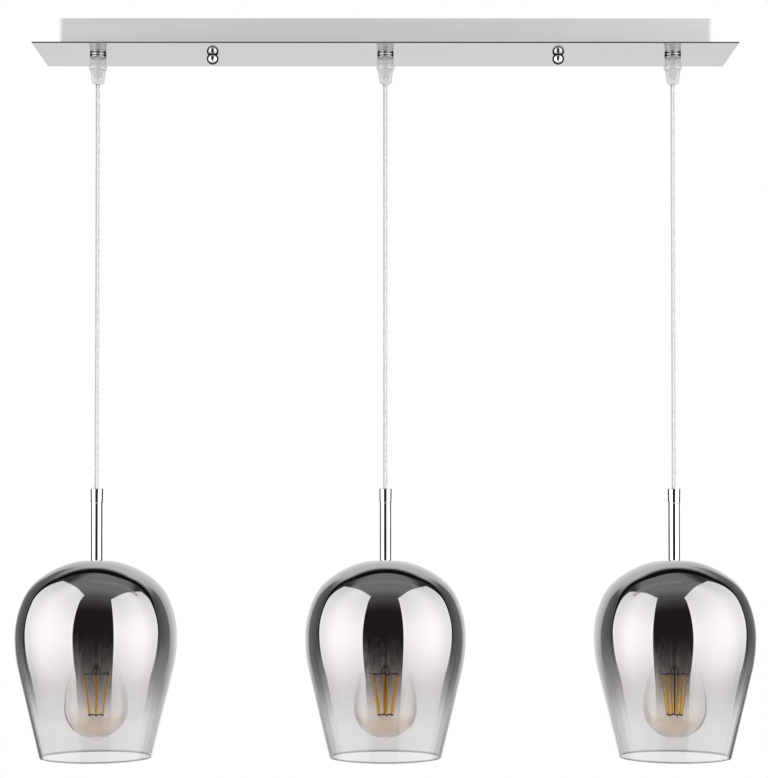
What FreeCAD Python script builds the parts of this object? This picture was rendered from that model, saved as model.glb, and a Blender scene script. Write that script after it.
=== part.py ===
import FreeCAD
import Part
import math
import os

from FreeCAD import Vector

# A linear pendant light for a kitchen island: a shallow ceiling canopy with three clear cords,
# each carrying a slim rod, a bell of metallised glass and a screw-in filament bulb.
# Millimetres. The origin is the middle of the ceiling face, +X runs along the canopy, +Z is up.

# ---- shared by all the pieces
PAST = 1.0                    # how far a cutting shape runs past what it cuts
TOUCH = 0.01                  # heights and radii closer than this are the same
THREAD_CLEARANCE = 0.05

# ---- canopy
PLATE_LENGTH = 700.0
PLATE_DEPTH = 90.0
PLATE_THICK = 1.5
PLATE_BEVEL = 0.4
BOX_LENGTH = 650.0
BOX_DEPTH = 60.0
BOX_WALL = 1.0
BOX_CORNER = 2.5
CANOPY_DROP = 29.0            # ceiling to the underside of the plate

# ---- ceiling bracket, its two studs and the cap nuts that hold the canopy up
STUD_SPACING = 350.0
STUD_RADIUS = 2.0
STUD_CLEARANCE = 0.3
STRAP_WIDTH = 25.0
STRAP_THICK = 1.5
STRAP_END = 14.0              # from a stud to the end of the strap
STRAP_JOGGLE = 4.0            # how far the ends step down, so that the stud heads clear the ceiling
JOGGLE_RUN = 5.0
SLOT_COUNT = 4
SLOT_SPACING = 80.0
SLOT_LENGTH = 20.0
SLOT_RADIUS = 2.5
CABLE_HOLE_RADIUS = 8.0
HEAD_RADIUS = 3.8
HEAD_HEIGHT = 2.4
HEX_FLATS = 7.0
HEX_HEIGHT = 3.2
CAP_NUT_RADIUS = 6.0
CAP_NUT_SKIRT = 4.4
CAP_NUT_HEIGHT = 9.6
CAP_NUT_BORE = 7.0
STUD_IN_NUT = 6.0

# ---- cord grips
PENDANT_END_GAP = 34.0        # from the axis of an outer pendant to the end of the box
CORD_RADIUS = 2.5
CORD_LENGTH = 410.5           # free cord, from the mouth of the grip to the rod
CORD_CLEARANCE = 0.1
GRIP_RING_RADIUS = 8.35
GRIP_RING_HEIGHT = 3.0
RING_BEVEL = 0.4
SHANK_RADIUS = 5.0
SHANK_CLEARANCE = 0.2
SHANK_ABOVE_NUT = 1.5
LOCKNUT_FLATS = 14.0
LOCKNUT_HEIGHT = 3.0
GRIP_BARREL_RADIUS = 8.25
GRIP_BARREL_HEIGHT = 8.0
GRIP_FLANGE_RADIUS = 9.0
GRIP_FLANGE_HEIGHT = 4.3
GRIP_FLANGE_STEP = 0.5
GRIP_FLANGE_BEVEL = 0.8
COLLET_RADIUS = 4.6
COLLET_LENGTH = 8.0
COLLET_SLIT = 0.8
COLLET_TAPER = 0.8
COLLET_GAP = 0.2
GRIP_CAP_TOP_RADIUS = 7.5
GRIP_CAP_END_RADIUS = 6.25
GRIP_CAP_HEIGHT = 13.7
GRIP_CAP_ROUND = 1.0
GRIP_CAP_FLUTES = 10
FLUTE_RADIUS = 1.3
FLUTE_DEPTH = 0.55
FLUTE_STOP = 1.7              # from the top of the cap
PIVOT_ABOVE_MOUTH = 2.0       # the cord bends about this point, just inside the mouth
BEND_GAP = 0.3
MOUTH_DEPTH = 2.9
MOUTH_ANGLE = 35.0
TAIL_ABOVE_SHANK = 3.0        # sheathed cord standing above the grip, inside the canopy

# ---- wiring in the canopy
CORE_RADIUS = 0.9
CORE_OFFSET = 1.2
BLOCK_X = 95.0
BLOCK_LENGTH = 22.0
BLOCK_HEIGHT = 12.0
BLOCK_FRONT_GAP = 1.5         # from the block to the front wall of the box
BLOCK_MARGIN = 1.6
BLOCK_BEVEL = 0.8
WINDOW_LENGTH = 4.0           # of the test windows in the top of the block
WINDOW_WIDTH = 2.4
WINDOW_DEPTH = 1.5
ENTRY_COUNT = 6
ENTRY_PITCH = 2.8
ENTRY_RADIUS = 1.2
ENTRY_DEPTH = 6.0
ENTRY_HEIGHT = 3.0            # above the floor of the box
CORE_IN_ENTRY = 3.0
CORE_RISE = 8.0
CORE_RUN_OUT = 26.0
BLOCK_EAR = 9.0
BLOCK_EAR_THICK = 2.5
SMALL_SCREW_RADIUS = 1.5
SMALL_HEAD_RADIUS = 2.8
SMALL_HEAD_HEIGHT = 1.8
SCREW_CLEARANCE = 0.2
SCREW_SLOT = 0.8
SCREW_END_GAP = 0.1           # from the screw's end to the plate below
EARTH_SCREW_X = 146.0
EARTH_SCREW_Y = 12.0
LUG_RADIUS = 3.6
LUG_THICK = 0.8
LUG_NECK = 8.0
LUG_GRIP = 1.0                # from the lug's ring to the end of its core

# ---- rod above the glass
COLLAR_RADIUS = 6.25
COLLAR_HEIGHT = 14.5
COLLAR_BEVEL = 0.5
STEM_RADIUS = 5.7
STEM_LENGTH = 58.5
STEM_ROUND = 1.6
STEM_BORE = 3.6
SPIGOT_RADIUS = 4.75
SPIGOT_LENGTH = 7.0
SOCKET_RELIEF = 0.5           # past the end of a spigot or a thread
NIPPLE_RADIUS = 3.75
NIPPLE_BORE = 2.4
NIPPLE_IN_STEM = 12.0
NIPPLE_IN_HOLDER = 8.0
WASHER_RADIUS = 9.5
WASHER_THICK = 1.2
WASHER_BEVEL = 0.4
GASKET_RADIUS = 8.5
GASKET_THICK = 1.0

# ---- glass bell, outside outline from the seat in its dimple down to the rim
GLASS_WALL = 2.5
GLASS_HOLE_RADIUS = 4.5
SHADE_RADIUS = 81.0
SHADE_RIM_RADIUS = 57.2
SHADE_HEIGHT = 199.0          # crest of the dome to the rim
SEAT_MARGIN = 1.0
DIMPLE_WIDTH = 6.5
DIMPLE_DEPTH = 4.6
CREST_ARC = 35.5
DOME_SLOPE = 27.5
SHOULDER_ARC = 45.7
SHOULDER_END = 60.0
SIDE_ARC = 93.4
BELLY_ARC = 147.5

# ---- lampholder
HOLDER_RADIUS = 19.0
HOLDER_NECK_RADIUS = 8.5
HOLDER_NECK = 3.0
HOLDER_DOME = 5.8
HOLDER_EDGE = 2.0
HOLDER_CAP_HEIGHT = 21.0
HOLDER_WALL = 2.0
HOLDER_LENGTH = 61.0
HOLDER_TAPER = 1.5
SKIRT_SPIGOT = 6.0
SKIRT_BAND = 6.0
SKIRT_STEP = 2.0
SKIRT_BEVEL = 1.0
SPIGOT_GAP = 0.15
INSERT_RADIUS = 15.3
INSERT_HEIGHT = 14.6
INSERT_GAP = 0.2
SOCKET_RADIUS = 13.3
CONTACT_RADIUS = 3.0
CONTACT_HEIGHT = 6.0
CONTACT_ROUND = 1.0
CONTACT_GAP = 0.3
GRIP_RIBS = 24
GRIP_RIB_RADIUS = 0.8
GRIP_RIB_LENGTH = 20.0
GRIP_RIB_START = 5.0          # above the end of the skirt

# ---- bulb
BULB_LENGTH = 140.0
BULB_RADIUS = 32.0
BULB_WALL = 0.8
BULB_NECK_RADIUS = 12.2
BULB_NECK_TOP = 17.0          # below the contact
BULB_CAP_RADIUS = 13.0
BULB_CAP_END = 26.0           # below the contact
BULB_CAP_WALL = 0.5
CONTACT_STUD_RADIUS = 4.5
CONTACT_STUD = 1.0
CAP_CONE = 5.0
CAP_STEP = 1.0
CAP_CROWN = 1.5
BULB_TIP_RADIUS = 3.4
BULB_TIP = 2.8
BULB_PIP_RADIUS = 1.4
BULB_PIP_FLAT = 0.6
BULB_PIP_ROUND = 0.2
NECK_SHARE = 0.38             # the hollow curve's share of the neck's two tangent arcs
FLARE_RADIUS = 11.0
FLARE_GAP = 0.1
FLARE_BELOW_NECK = 1.0
FLARE_THICK = 2.0
FLARE_DRAW = 9.0
MOUNT_RADIUS = 4.2
MOUNT_LENGTH = 48.0
MOUNT_WAIST_RADIUS = 3.4
MOUNT_WAIST = 8.0             # above the end of the mount
MOUNT_PINCH = 4.0
MOUNT_END_RADIUS = 2.5
FILAMENT_COUNT = 6
FILAMENT_LENGTH = 41.0
FILAMENT_WIDTH = 1.9
FILAMENT_THICK = 1.1
FILAMENT_TOP_RADIUS = 13.5
FILAMENT_END_RADIUS = 7.6
FILAMENT_TURN = 98.0          # where the first one stands, from +X
FILAMENT_DROP = 6.5           # below the glass mount
WIRE_RADIUS = 0.35
MAST_RADIUS = 0.55
HUB_RADIUS = 0.9
FILAMENT_GAP = 0.2            # from a stick to its wires

PENDANT_SPACING = BOX_LENGTH / 2 - PENDANT_END_GAP
PENDANTS = {"left": -PENDANT_SPACING, "centre": 0.0, "right": PENDANT_SPACING}

# ---- heights that follow from the sizes above
PLATE_TOP = -CANOPY_DROP + PLATE_THICK
FLOOR_TOP = PLATE_TOP + BOX_WALL
RING_END = -CANOPY_DROP - GRIP_RING_HEIGHT
GRIP_BODY_END = RING_END - GRIP_BARREL_HEIGHT - GRIP_FLANGE_HEIGHT
MOUTH_Z = GRIP_BODY_END - GRIP_CAP_HEIGHT
PIVOT_Z = MOUTH_Z + PIVOT_ABOVE_MOUTH
SHANK_TOP = FLOOR_TOP + LOCKNUT_HEIGHT + SHANK_ABOVE_NUT
TAIL_TOP = SHANK_TOP + TAIL_ABOVE_SHANK
COLLAR_TOP = MOUTH_Z - CORD_LENGTH
STEM_TOP = COLLAR_TOP - COLLAR_HEIGHT
STEM_END = STEM_TOP - STEM_LENGTH
WASHER_END = STEM_END - WASHER_THICK
SEAT_Z = WASHER_END - GASKET_THICK
GLASS_UNDER = SEAT_Z - GLASS_WALL
HOLDER_TOP = GLASS_UNDER - GASKET_THICK
HOLDER_JOINT = HOLDER_TOP - HOLDER_CAP_HEIGHT
HOLDER_END = HOLDER_TOP - HOLDER_LENGTH
INSERT_END = HOLDER_JOINT + SKIRT_SPIGOT - INSERT_HEIGHT - INSERT_GAP
BULB_TOP = INSERT_END - CONTACT_HEIGHT - CONTACT_GAP
BULB_END = BULB_TOP - BULB_LENGTH
BLOCK_FRONT = -BOX_DEPTH / 2 + BOX_WALL + BLOCK_FRONT_GAP
ENTRY_Z = FLOOR_TOP + ENTRY_HEIGHT


# ---- small helpers
def cylinder(radius, low, high, x=0.0, y=0.0):
    """An upright cylinder between two heights."""
    return Part.makeCylinder(radius, high - low, Vector(x, y, low))


def tube(outer, inner, low, high, x=0.0, y=0.0):
    """An upright tube between two heights."""
    return cylinder(outer, low, high, x, y).cut(cylinder(inner, low - PAST, high + PAST, x, y))


def block(x0, x1, y0, y1, z0, z1):
    """A box between two corners."""
    return Part.makeBox(x1 - x0, y1 - y0, z1 - z0, Vector(x0, y0, z0))


def hexagon(flats, low, high, x=0.0, y=0.0):
    """An upright hexagonal prism, by its distance across flats."""
    corner = flats / math.sqrt(3)
    turns = [math.radians(60 * i) for i in range(7)]
    ring = [Vector(x + corner * math.cos(a), y + corner * math.sin(a), low) for a in turns]
    return Part.Face(Part.makePolygon(ring)).extrude(Vector(0, 0, high - low))


def ring_edges(solid, height, radius):
    """The circular edges of a solid at one height that have one radius."""
    found = []
    for edge in solid.Edges:
        if edge.Curve.TypeId != "Part::GeomCircle" or abs(edge.Curve.Radius - radius) > TOUCH:
            continue
        if abs(edge.BoundBox.ZMin - height) < TOUCH and abs(edge.BoundBox.ZMax - height) < TOUCH:
            found.append(edge)
    return found


def outline(start, heading, moves, wall=0.0):
    """Edges of a smooth outline in the XZ plane, drawn like a walk.

    A move is ("line", length) or ("arc", radius, turn): the turn in degrees is positive to the
    left. A wall shifts the walk that far to its right, and keeps every arc concentric.
    """
    angle = math.radians(heading)
    place = Vector(start[0] + wall * math.sin(angle), 0, start[1] - wall * math.cos(angle))
    edges = []
    for move in moves:
        ahead = Vector(math.cos(angle), 0, math.sin(angle))
        if move[0] == "line":
            end = place + ahead * move[1]
            edges.append(Part.LineSegment(place, end).toShape())
        else:
            turn = math.radians(move[2])
            side = math.copysign(1.0, turn)
            radius = move[1] + side * wall
            left = Vector(-ahead.z, 0, ahead.x)
            centre = place + left * (side * radius)
            half, end = (
                centre + Vector(math.sin(a), 0, -math.cos(a)) * (side * radius)
                for a in (angle + turn / 2, angle + turn)
            )
            edges.append(Part.Arc(place, half, end).toShape())
            angle += turn
        place = end
    return edges


def start_of(edges):
    return edges[0].valueAt(edges[0].FirstParameter)


def end_of(edges):
    return edges[-1].valueAt(edges[-1].LastParameter)


def revolved(edges):
    """The solid made by turning closed edges in the XZ plane about the Z axis."""
    wire = Part.Wire(Part.__sortEdges__(edges))
    return Part.Face(wire).revolve(Vector(0, 0, 0), Vector(0, 0, 1), 360)


def segments(points):
    """Straight edges through (radius, height) points."""
    spots = [Vector(r, 0, z) for r, z in points]
    return [Part.LineSegment(a, b).toShape() for a, b in zip(spots, spots[1:])]


def turned(points):
    """A turned solid from a closed list of (radius, height) points."""
    return revolved(segments(points + points[:1]))


def wire_path(points):
    """Straight runs joined by tangent arcs, each as large as its two runs allow."""
    edges, place = [], points[0]
    for before, corner, after in zip(points, points[1:], points[2:]):
        back, ahead = before - corner, after - corner
        run = 0.45 * min(back.Length, ahead.Length)
        back.normalize()
        ahead.normalize()
        turn = math.pi - back.getAngle(ahead)
        radius = run / math.tan(turn / 2)
        first, last = corner + back * run, corner + ahead * run
        inward = back + ahead
        inward.normalize()
        middle = corner + inward * (radius / math.cos(turn / 2) - radius)
        edges.append(Part.LineSegment(place, first).toShape())
        edges.append(Part.Arc(first, middle, last).toShape())
        place = last
    edges.append(Part.LineSegment(place, points[-1]).toShape())
    return Part.Wire(edges)


def core(points):
    """One insulated core along a route."""
    path = wire_path(points)
    start = points[0]
    profile = Part.Wire(Part.makeCircle(CORE_RADIUS, start, points[1] - start))
    return path.makePipeShell([profile], True, False)


def moved(shape, x):
    """A copy of a shape, moved along the canopy."""
    copy = shape.copy()
    copy.translate(Vector(x, 0, 0))
    return copy


def at_pendants(shape):
    """The same piece at each of the three pendants, as separate solids."""
    return [moved(shape, x) for x in PENDANTS.values()]


# ---- canopy
def canopy_box():
    """A folded tray, open to the ceiling, with holes for the three grips and the two studs."""
    half_x, half_y = BOX_LENGTH / 2, BOX_DEPTH / 2
    tray = block(-half_x, half_x, -half_y, half_y, PLATE_TOP, 0)
    upright = [e for e in tray.Edges if e.BoundBox.ZLength > BOX_WALL]
    tray = tray.makeFillet(BOX_CORNER, upright)
    top = max(tray.Faces, key=lambda face: face.CenterOfMass.z)
    tray = tray.makeThickness([top], -BOX_WALL, TOUCH)
    for x in PENDANTS.values():
        tray = tray.cut(cylinder(SHANK_RADIUS + SHANK_CLEARANCE, PLATE_TOP - PAST, FLOOR_TOP + PAST, x))
    for x in (-STUD_SPACING / 2, STUD_SPACING / 2):
        tray = tray.cut(cylinder(STUD_RADIUS + STUD_CLEARANCE, PLATE_TOP - PAST, FLOOR_TOP + PAST, x))
    for x, y in fixing_places():
        hole = SMALL_SCREW_RADIUS + THREAD_CLEARANCE
        tray = tray.cut(cylinder(hole, PLATE_TOP - PAST, FLOOR_TOP + PAST, x, y))
    return tray


def canopy_plate():
    """The polished plate under the tray, bevelled round its visible edge."""
    half_x, half_y = PLATE_LENGTH / 2, PLATE_DEPTH / 2
    plate = block(-half_x, half_x, -half_y, half_y, -CANOPY_DROP, PLATE_TOP)
    under = min(plate.Faces, key=lambda face: face.CenterOfMass.z)
    plate = plate.makeChamfer(PLATE_BEVEL, under.Edges)
    low, high = -CANOPY_DROP - PAST, PLATE_TOP + PAST
    for x in PENDANTS.values():
        plate = plate.cut(cylinder(SHANK_RADIUS + SHANK_CLEARANCE, low, high, x))
    for x in (-STUD_SPACING / 2, STUD_SPACING / 2):
        plate = plate.cut(cylinder(STUD_RADIUS + STUD_CLEARANCE, low, high, x))
    return plate


def ceiling_bracket():
    """A steel strap flat on the ceiling, stepped down at both ends to carry the studs."""
    knee = STUD_SPACING / 2 - STRAP_END
    tip = STUD_SPACING / 2 + STRAP_END
    shift = STRAP_THICK * math.tan(math.atan2(STRAP_JOGGLE, JOGGLE_RUN) / 2)
    upper = [(-tip, -STRAP_JOGGLE), (-knee, -STRAP_JOGGLE), (-knee + JOGGLE_RUN, 0)]
    lower = [(x + shift * (x > -tip), z - STRAP_THICK) for x, z in upper]
    across = [(-x, z) for x, z in reversed(upper)] + [(-x, z) for x, z in lower]
    ring = [Vector(x, -STRAP_WIDTH / 2, z) for x, z in upper + across + lower[::-1] + upper[:1]]
    strap = Part.Face(Part.makePolygon(ring)).extrude(Vector(0, STRAP_WIDTH, 0))
    corners = [e for e in strap.Edges if e.BoundBox.XLength < TOUCH and e.BoundBox.YLength < TOUCH
               and abs(abs(e.BoundBox.XMax) - tip) < TOUCH]
    strap = strap.makeFillet(STRAP_WIDTH / 4, corners)
    for i in range(SLOT_COUNT):
        strap = strap.cut(ceiling_slot((i - (SLOT_COUNT - 1) / 2) * SLOT_SPACING))
    strap = strap.cut(cylinder(CABLE_HOLE_RADIUS, -STRAP_THICK - PAST, PAST))
    for x in (-STUD_SPACING / 2, STUD_SPACING / 2):
        low = -STRAP_JOGGLE - STRAP_THICK - PAST
        strap = strap.cut(cylinder(STUD_RADIUS + THREAD_CLEARANCE, low, PAST, x))
    return strap


def ceiling_slot(x):
    """The space of one slot for a ceiling screw, long way along the strap."""
    half = SLOT_LENGTH / 2 - SLOT_RADIUS
    low, high = -STRAP_THICK - PAST, PAST
    slot = block(x - half, x + half, -SLOT_RADIUS, SLOT_RADIUS, low, high)
    ends = [cylinder(SLOT_RADIUS, low, high, x + side * half) for side in (-1, 1)]
    return slot.fuse(ends).removeSplitter()


def bracket_studs():
    """The two pan-head studs that hang from the strap, each with its locking nut."""
    solids = []
    head_low = -STRAP_JOGGLE
    nut_high = -STRAP_JOGGLE - STRAP_THICK
    for x in (-STUD_SPACING / 2, STUD_SPACING / 2):
        shank = cylinder(STUD_RADIUS, -CANOPY_DROP - STUD_IN_NUT, head_low, x)
        head = cylinder(HEAD_RADIUS, head_low, head_low + HEAD_HEIGHT, x)
        head = head.makeFillet(HEAD_HEIGHT / 3, ring_edges(head, head_low + HEAD_HEIGHT, HEAD_RADIUS))
        nut = hexagon(HEX_FLATS, nut_high - HEX_HEIGHT, nut_high, x)
        bore = STUD_RADIUS + THREAD_CLEARANCE
        nut = nut.cut(cylinder(bore, nut_high - HEX_HEIGHT - PAST, nut_high + PAST, x))
        solids += [shank.fuse(head).removeSplitter(), nut]
    return solids


def cap_nuts():
    """The domed nuts under the plate, blind bored for the studs."""
    solids = []
    for x in (-STUD_SPACING / 2, STUD_SPACING / 2):
        dome = CAP_NUT_HEIGHT - CAP_NUT_SKIRT
        low = -CANOPY_DROP - CAP_NUT_SKIRT
        ball = (CAP_NUT_RADIUS ** 2 + dome ** 2) / (2 * dome)
        middle = low - dome + ball
        skirt = cylinder(CAP_NUT_RADIUS, -CANOPY_DROP - CAP_NUT_HEIGHT, -CANOPY_DROP, x)
        nut = skirt.common(Part.makeSphere(ball, Vector(x, 0, middle)).fuse(
            cylinder(CAP_NUT_RADIUS + PAST, low, -CANOPY_DROP, x)))
        bore = STUD_RADIUS + THREAD_CLEARANCE
        solids.append(nut.cut(cylinder(bore, -CANOPY_DROP - CAP_NUT_BORE, 0, x)))
    return solids


# ---- cord grips
def grip_ring():
    """The plated ring between the plate and the clear grip."""
    ring = tube(GRIP_RING_RADIUS, SHANK_RADIUS + SHANK_CLEARANCE, RING_END, -CANOPY_DROP)
    return ring.makeChamfer(RING_BEVEL, ring_edges(ring, RING_END, GRIP_RING_RADIUS))


def grip_body():
    """The clear body: threaded shank above, barrel and flange, and a slit collet on the cord."""
    flange_top = RING_END - GRIP_BARREL_HEIGHT
    collet_end = GRIP_BODY_END - COLLET_LENGTH
    bore = CORD_RADIUS + CORD_CLEARANCE
    body = turned([
        (bore, SHANK_TOP), (SHANK_RADIUS, SHANK_TOP), (SHANK_RADIUS, RING_END),
        (GRIP_BARREL_RADIUS, RING_END), (GRIP_BARREL_RADIUS, flange_top + GRIP_FLANGE_STEP),
        (GRIP_FLANGE_RADIUS, flange_top), (GRIP_FLANGE_RADIUS, GRIP_BODY_END + GRIP_FLANGE_BEVEL),
        (GRIP_FLANGE_RADIUS - GRIP_FLANGE_BEVEL, GRIP_BODY_END), (COLLET_RADIUS, GRIP_BODY_END),
        (COLLET_RADIUS - COLLET_TAPER, collet_end), (bore, collet_end)])
    for turn in (0, 90):
        slit = block(-SHANK_RADIUS, SHANK_RADIUS, -COLLET_SLIT / 2, COLLET_SLIT / 2,
                     collet_end - PAST, GRIP_BODY_END - PAST)
        slit.rotate(Vector(0, 0, 0), Vector(0, 0, 1), turn)
        body = body.cut(slit)
    return body


def grip_cap():
    """The tapered, fluted cap that squeezes the collet, with a bell mouth for the cord."""
    top, end = GRIP_BODY_END, MOUTH_Z
    collet_end = GRIP_BODY_END - COLLET_LENGTH
    bore = CORD_RADIUS + BEND_GAP
    mouth = bore + MOUTH_DEPTH * math.tan(math.radians(MOUTH_ANGLE))
    cap = turned([
        (COLLET_RADIUS + COLLET_GAP, top), (GRIP_CAP_TOP_RADIUS, top),
        (GRIP_CAP_END_RADIUS, end + GRIP_CAP_ROUND), (GRIP_CAP_END_RADIUS - GRIP_CAP_ROUND, end),
        (mouth, end), (bore, end + MOUTH_DEPTH), (bore, collet_end - 3 * COLLET_GAP),
        (COLLET_RADIUS - COLLET_TAPER + COLLET_GAP, collet_end - COLLET_GAP)])
    lean = math.degrees(math.atan((GRIP_CAP_TOP_RADIUS - GRIP_CAP_END_RADIUS) / GRIP_CAP_HEIGHT))
    reach = GRIP_CAP_END_RADIUS + FLUTE_RADIUS - FLUTE_DEPTH
    height = GRIP_CAP_HEIGHT - FLUTE_STOP + PAST
    flute = Part.makeCylinder(FLUTE_RADIUS, height, Vector(reach, 0, end - PAST))
    flute.rotate(Vector(reach, 0, end), Vector(0, 1, 0), lean)
    for i in range(GRIP_CAP_FLUTES):
        cutter = flute.copy()
        cutter.rotate(Vector(0, 0, 0), Vector(0, 0, 1), (i + 0.5) * 360 / GRIP_CAP_FLUTES)
        cap = cap.cut(cutter)
    return cap


def grip_locknut():
    """The hexagonal nut that draws the grip against the plate from inside the tray."""
    nut = hexagon(LOCKNUT_FLATS, FLOOR_TOP, FLOOR_TOP + LOCKNUT_HEIGHT)
    return nut.cut(cylinder(SHANK_RADIUS + THREAD_CLEARANCE, FLOOR_TOP - PAST, 0))


def cord_tail():
    """The held end of the cord, from the bend in the grip up into the canopy."""
    return cylinder(CORD_RADIUS, PIVOT_Z + CORD_RADIUS + BEND_GAP, TAIL_TOP)


# ---- wiring
def entry_y(index):
    """The middle of one wire entry of the terminal block, counted from the front."""
    return BLOCK_FRONT + BLOCK_MARGIN + ENTRY_RADIUS + index * ENTRY_PITCH


def block_back():
    return entry_y(ENTRY_COUNT - 1) + ENTRY_RADIUS + BLOCK_MARGIN


def fixing_places():
    """Where the terminal block's screw and the earth screw go into the floor of the tray."""
    return [(BLOCK_X, block_back() + BLOCK_EAR / 2), (EARTH_SCREW_X, EARTH_SCREW_Y)]


def terminal_block():
    """A three-pole push-in block with two entries a pole on both faces, and an ear to fix it by."""
    x0, x1 = BLOCK_X - BLOCK_LENGTH / 2, BLOCK_X + BLOCK_LENGTH / 2
    top = FLOOR_TOP + BLOCK_HEIGHT
    body = block(x0, x1, BLOCK_FRONT, block_back(), FLOOR_TOP, top)
    body = body.makeChamfer(BLOCK_BEVEL, [e for e in body.Edges if e.BoundBox.ZMin > top - TOUCH])
    ear = block(BLOCK_X - BLOCK_EAR / 2, BLOCK_X + BLOCK_EAR / 2, block_back() - PAST,
                block_back() + BLOCK_EAR, FLOOR_TOP, FLOOR_TOP + BLOCK_EAR_THICK)
    body = body.fuse(ear)
    for index in range(ENTRY_COUNT):
        y = entry_y(index)
        for x, way in ((x0, 1), (x1, -1)):
            entry = Part.makeCylinder(ENTRY_RADIUS, ENTRY_DEPTH, Vector(x, y, ENTRY_Z), Vector(way, 0, 0))
            body = body.cut(entry)
    for index in range(0, ENTRY_COUNT, 2):
        middle = entry_y(index) + ENTRY_PITCH / 2
        for x in (x0 + BLOCK_LENGTH * 0.25, x1 - BLOCK_LENGTH * 0.25):
            window = block(x - WINDOW_LENGTH / 2, x + WINDOW_LENGTH / 2, middle - WINDOW_WIDTH / 2,
                           middle + WINDOW_WIDTH / 2, top - WINDOW_DEPTH, top + PAST)
            body = body.cut(window)
    x, y = fixing_places()[0]
    hole = cylinder(SMALL_SCREW_RADIUS + SCREW_CLEARANCE, FLOOR_TOP - PAST, top, x, y)
    return body.cut(hole).removeSplitter()


def fixing_screws():
    """The block's screw and the earth screw, both ending inside the floor of the tray."""
    solids = []
    seats = (FLOOR_TOP + BLOCK_EAR_THICK, FLOOR_TOP + LUG_THICK)
    for (x, y), seat in zip(fixing_places(), seats):
        head = cylinder(SMALL_HEAD_RADIUS, seat, seat + SMALL_HEAD_HEIGHT, x, y)
        high = seat + SMALL_HEAD_HEIGHT
        slot = block(x - SMALL_HEAD_RADIUS, x + SMALL_HEAD_RADIUS, y - SCREW_SLOT / 2, y + SCREW_SLOT / 2,
                     high - SCREW_SLOT, high + PAST)
        shank = cylinder(SMALL_SCREW_RADIUS, PLATE_TOP + SCREW_END_GAP, seat, x, y)
        solids.append(head.cut(slot).fuse(shank).removeSplitter())
    return solids


def lamp_core(x, side, index):
    """A core from the end of one cord to its entry in the terminal block."""
    way = 1 if x < BLOCK_X else -1
    lane = entry_y(index)
    face = BLOCK_X - way * (BLOCK_LENGTH / 2 - CORE_IN_ENTRY)
    high = TAIL_TOP + CORE_RISE
    beside = x + side * way * CORE_OFFSET
    return core([
        Vector(beside, 0, TAIL_TOP), Vector(beside, 0, high),
        Vector(x + way * CORE_RUN_OUT * 0.4, lane * 0.85, high),
        Vector(x + way * CORE_RUN_OUT, lane, ENTRY_Z), Vector(face, lane, ENTRY_Z)])


def live_leads():
    entries = {"left": 0, "centre": 1, "right": 0}
    return [lamp_core(x, -1, entries[name]) for name, x in PENDANTS.items()]


def neutral_leads():
    entries = {"left": 2, "centre": 3, "right": 2}
    return [lamp_core(x, 1, entries[name]) for name, x in PENDANTS.items()]


def earth_lead():
    """The lug under the earth screw and its core to the last pole."""
    x, y = EARTH_SCREW_X, EARTH_SCREW_Y
    lug = cylinder(LUG_RADIUS, FLOOR_TOP, FLOOR_TOP + LUG_THICK, x, y)
    neck = block(x - LUG_NECK, x, y - CORE_RADIUS, y + CORE_RADIUS, FLOOR_TOP, FLOOR_TOP + LUG_THICK)
    hole = cylinder(SMALL_SCREW_RADIUS + SCREW_CLEARANCE, FLOOR_TOP - PAST, 0, x, y)
    lug = lug.fuse(neck).cut(hole).removeSplitter()
    level = FLOOR_TOP + LUG_THICK + CORE_RADIUS
    face = BLOCK_X + BLOCK_LENGTH / 2 - CORE_IN_ENTRY
    lane = entry_y(ENTRY_COUNT - 1)
    start = x - LUG_RADIUS - LUG_GRIP
    middle = (start + BLOCK_X + BLOCK_LENGTH / 2) / 2
    wire = core([Vector(start, y, level), Vector(middle + 5, y * 0.8, level),
                 Vector(middle - 5, lane, ENTRY_Z), Vector(face, lane, ENTRY_Z)])
    return [lug, wire]


# ---- one pendant
def cord_neck():
    """The bit of cord that flexes in the mouth of the grip, as a ball at the point of bending."""
    return Part.makeSphere(CORD_RADIUS, Vector(0, 0, PIVOT_Z))


def cord():
    """The free cord, straight because it carries the pendant."""
    return cylinder(CORD_RADIUS, COLLAR_TOP, PIVOT_Z - CORD_RADIUS - BEND_GAP)


def rod_collar():
    """The plated collar where the cord goes into the rod."""
    bore = CORD_RADIUS + CORD_CLEARANCE
    socket = SPIGOT_RADIUS + THREAD_CLEARANCE
    socket_top = STEM_TOP + SPIGOT_LENGTH + SOCKET_RELIEF
    return turned([
        (bore, COLLAR_TOP), (COLLAR_RADIUS - COLLAR_BEVEL, COLLAR_TOP),
        (COLLAR_RADIUS, COLLAR_TOP - COLLAR_BEVEL), (COLLAR_RADIUS, STEM_TOP + COLLAR_BEVEL / 2),
        (COLLAR_RADIUS - COLLAR_BEVEL / 2, STEM_TOP), (socket, STEM_TOP), (socket, socket_top),
        (bore, socket_top)])


def stem_tube():
    """The rod: a tube with a spigot for the collar, a threaded foot and a rounded lower edge."""
    foot_top = STEM_END + NIPPLE_IN_STEM + SOCKET_RELIEF
    foot = NIPPLE_RADIUS + THREAD_CLEARANCE
    stem = turned([
        (foot, STEM_END), (foot, foot_top), (STEM_BORE, foot_top),
        (STEM_BORE, STEM_TOP + SPIGOT_LENGTH), (SPIGOT_RADIUS, STEM_TOP + SPIGOT_LENGTH),
        (SPIGOT_RADIUS, STEM_TOP), (STEM_RADIUS, STEM_TOP), (STEM_RADIUS, STEM_END)])
    return stem.makeFillet(STEM_ROUND, ring_edges(stem, STEM_END, STEM_RADIUS))


def threaded_nipple():
    """The hollow nipple that draws rod, glass and lampholder together."""
    return tube(NIPPLE_RADIUS, NIPPLE_BORE, HOLDER_TOP - NIPPLE_IN_HOLDER, STEM_END + NIPPLE_IN_STEM)


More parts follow.
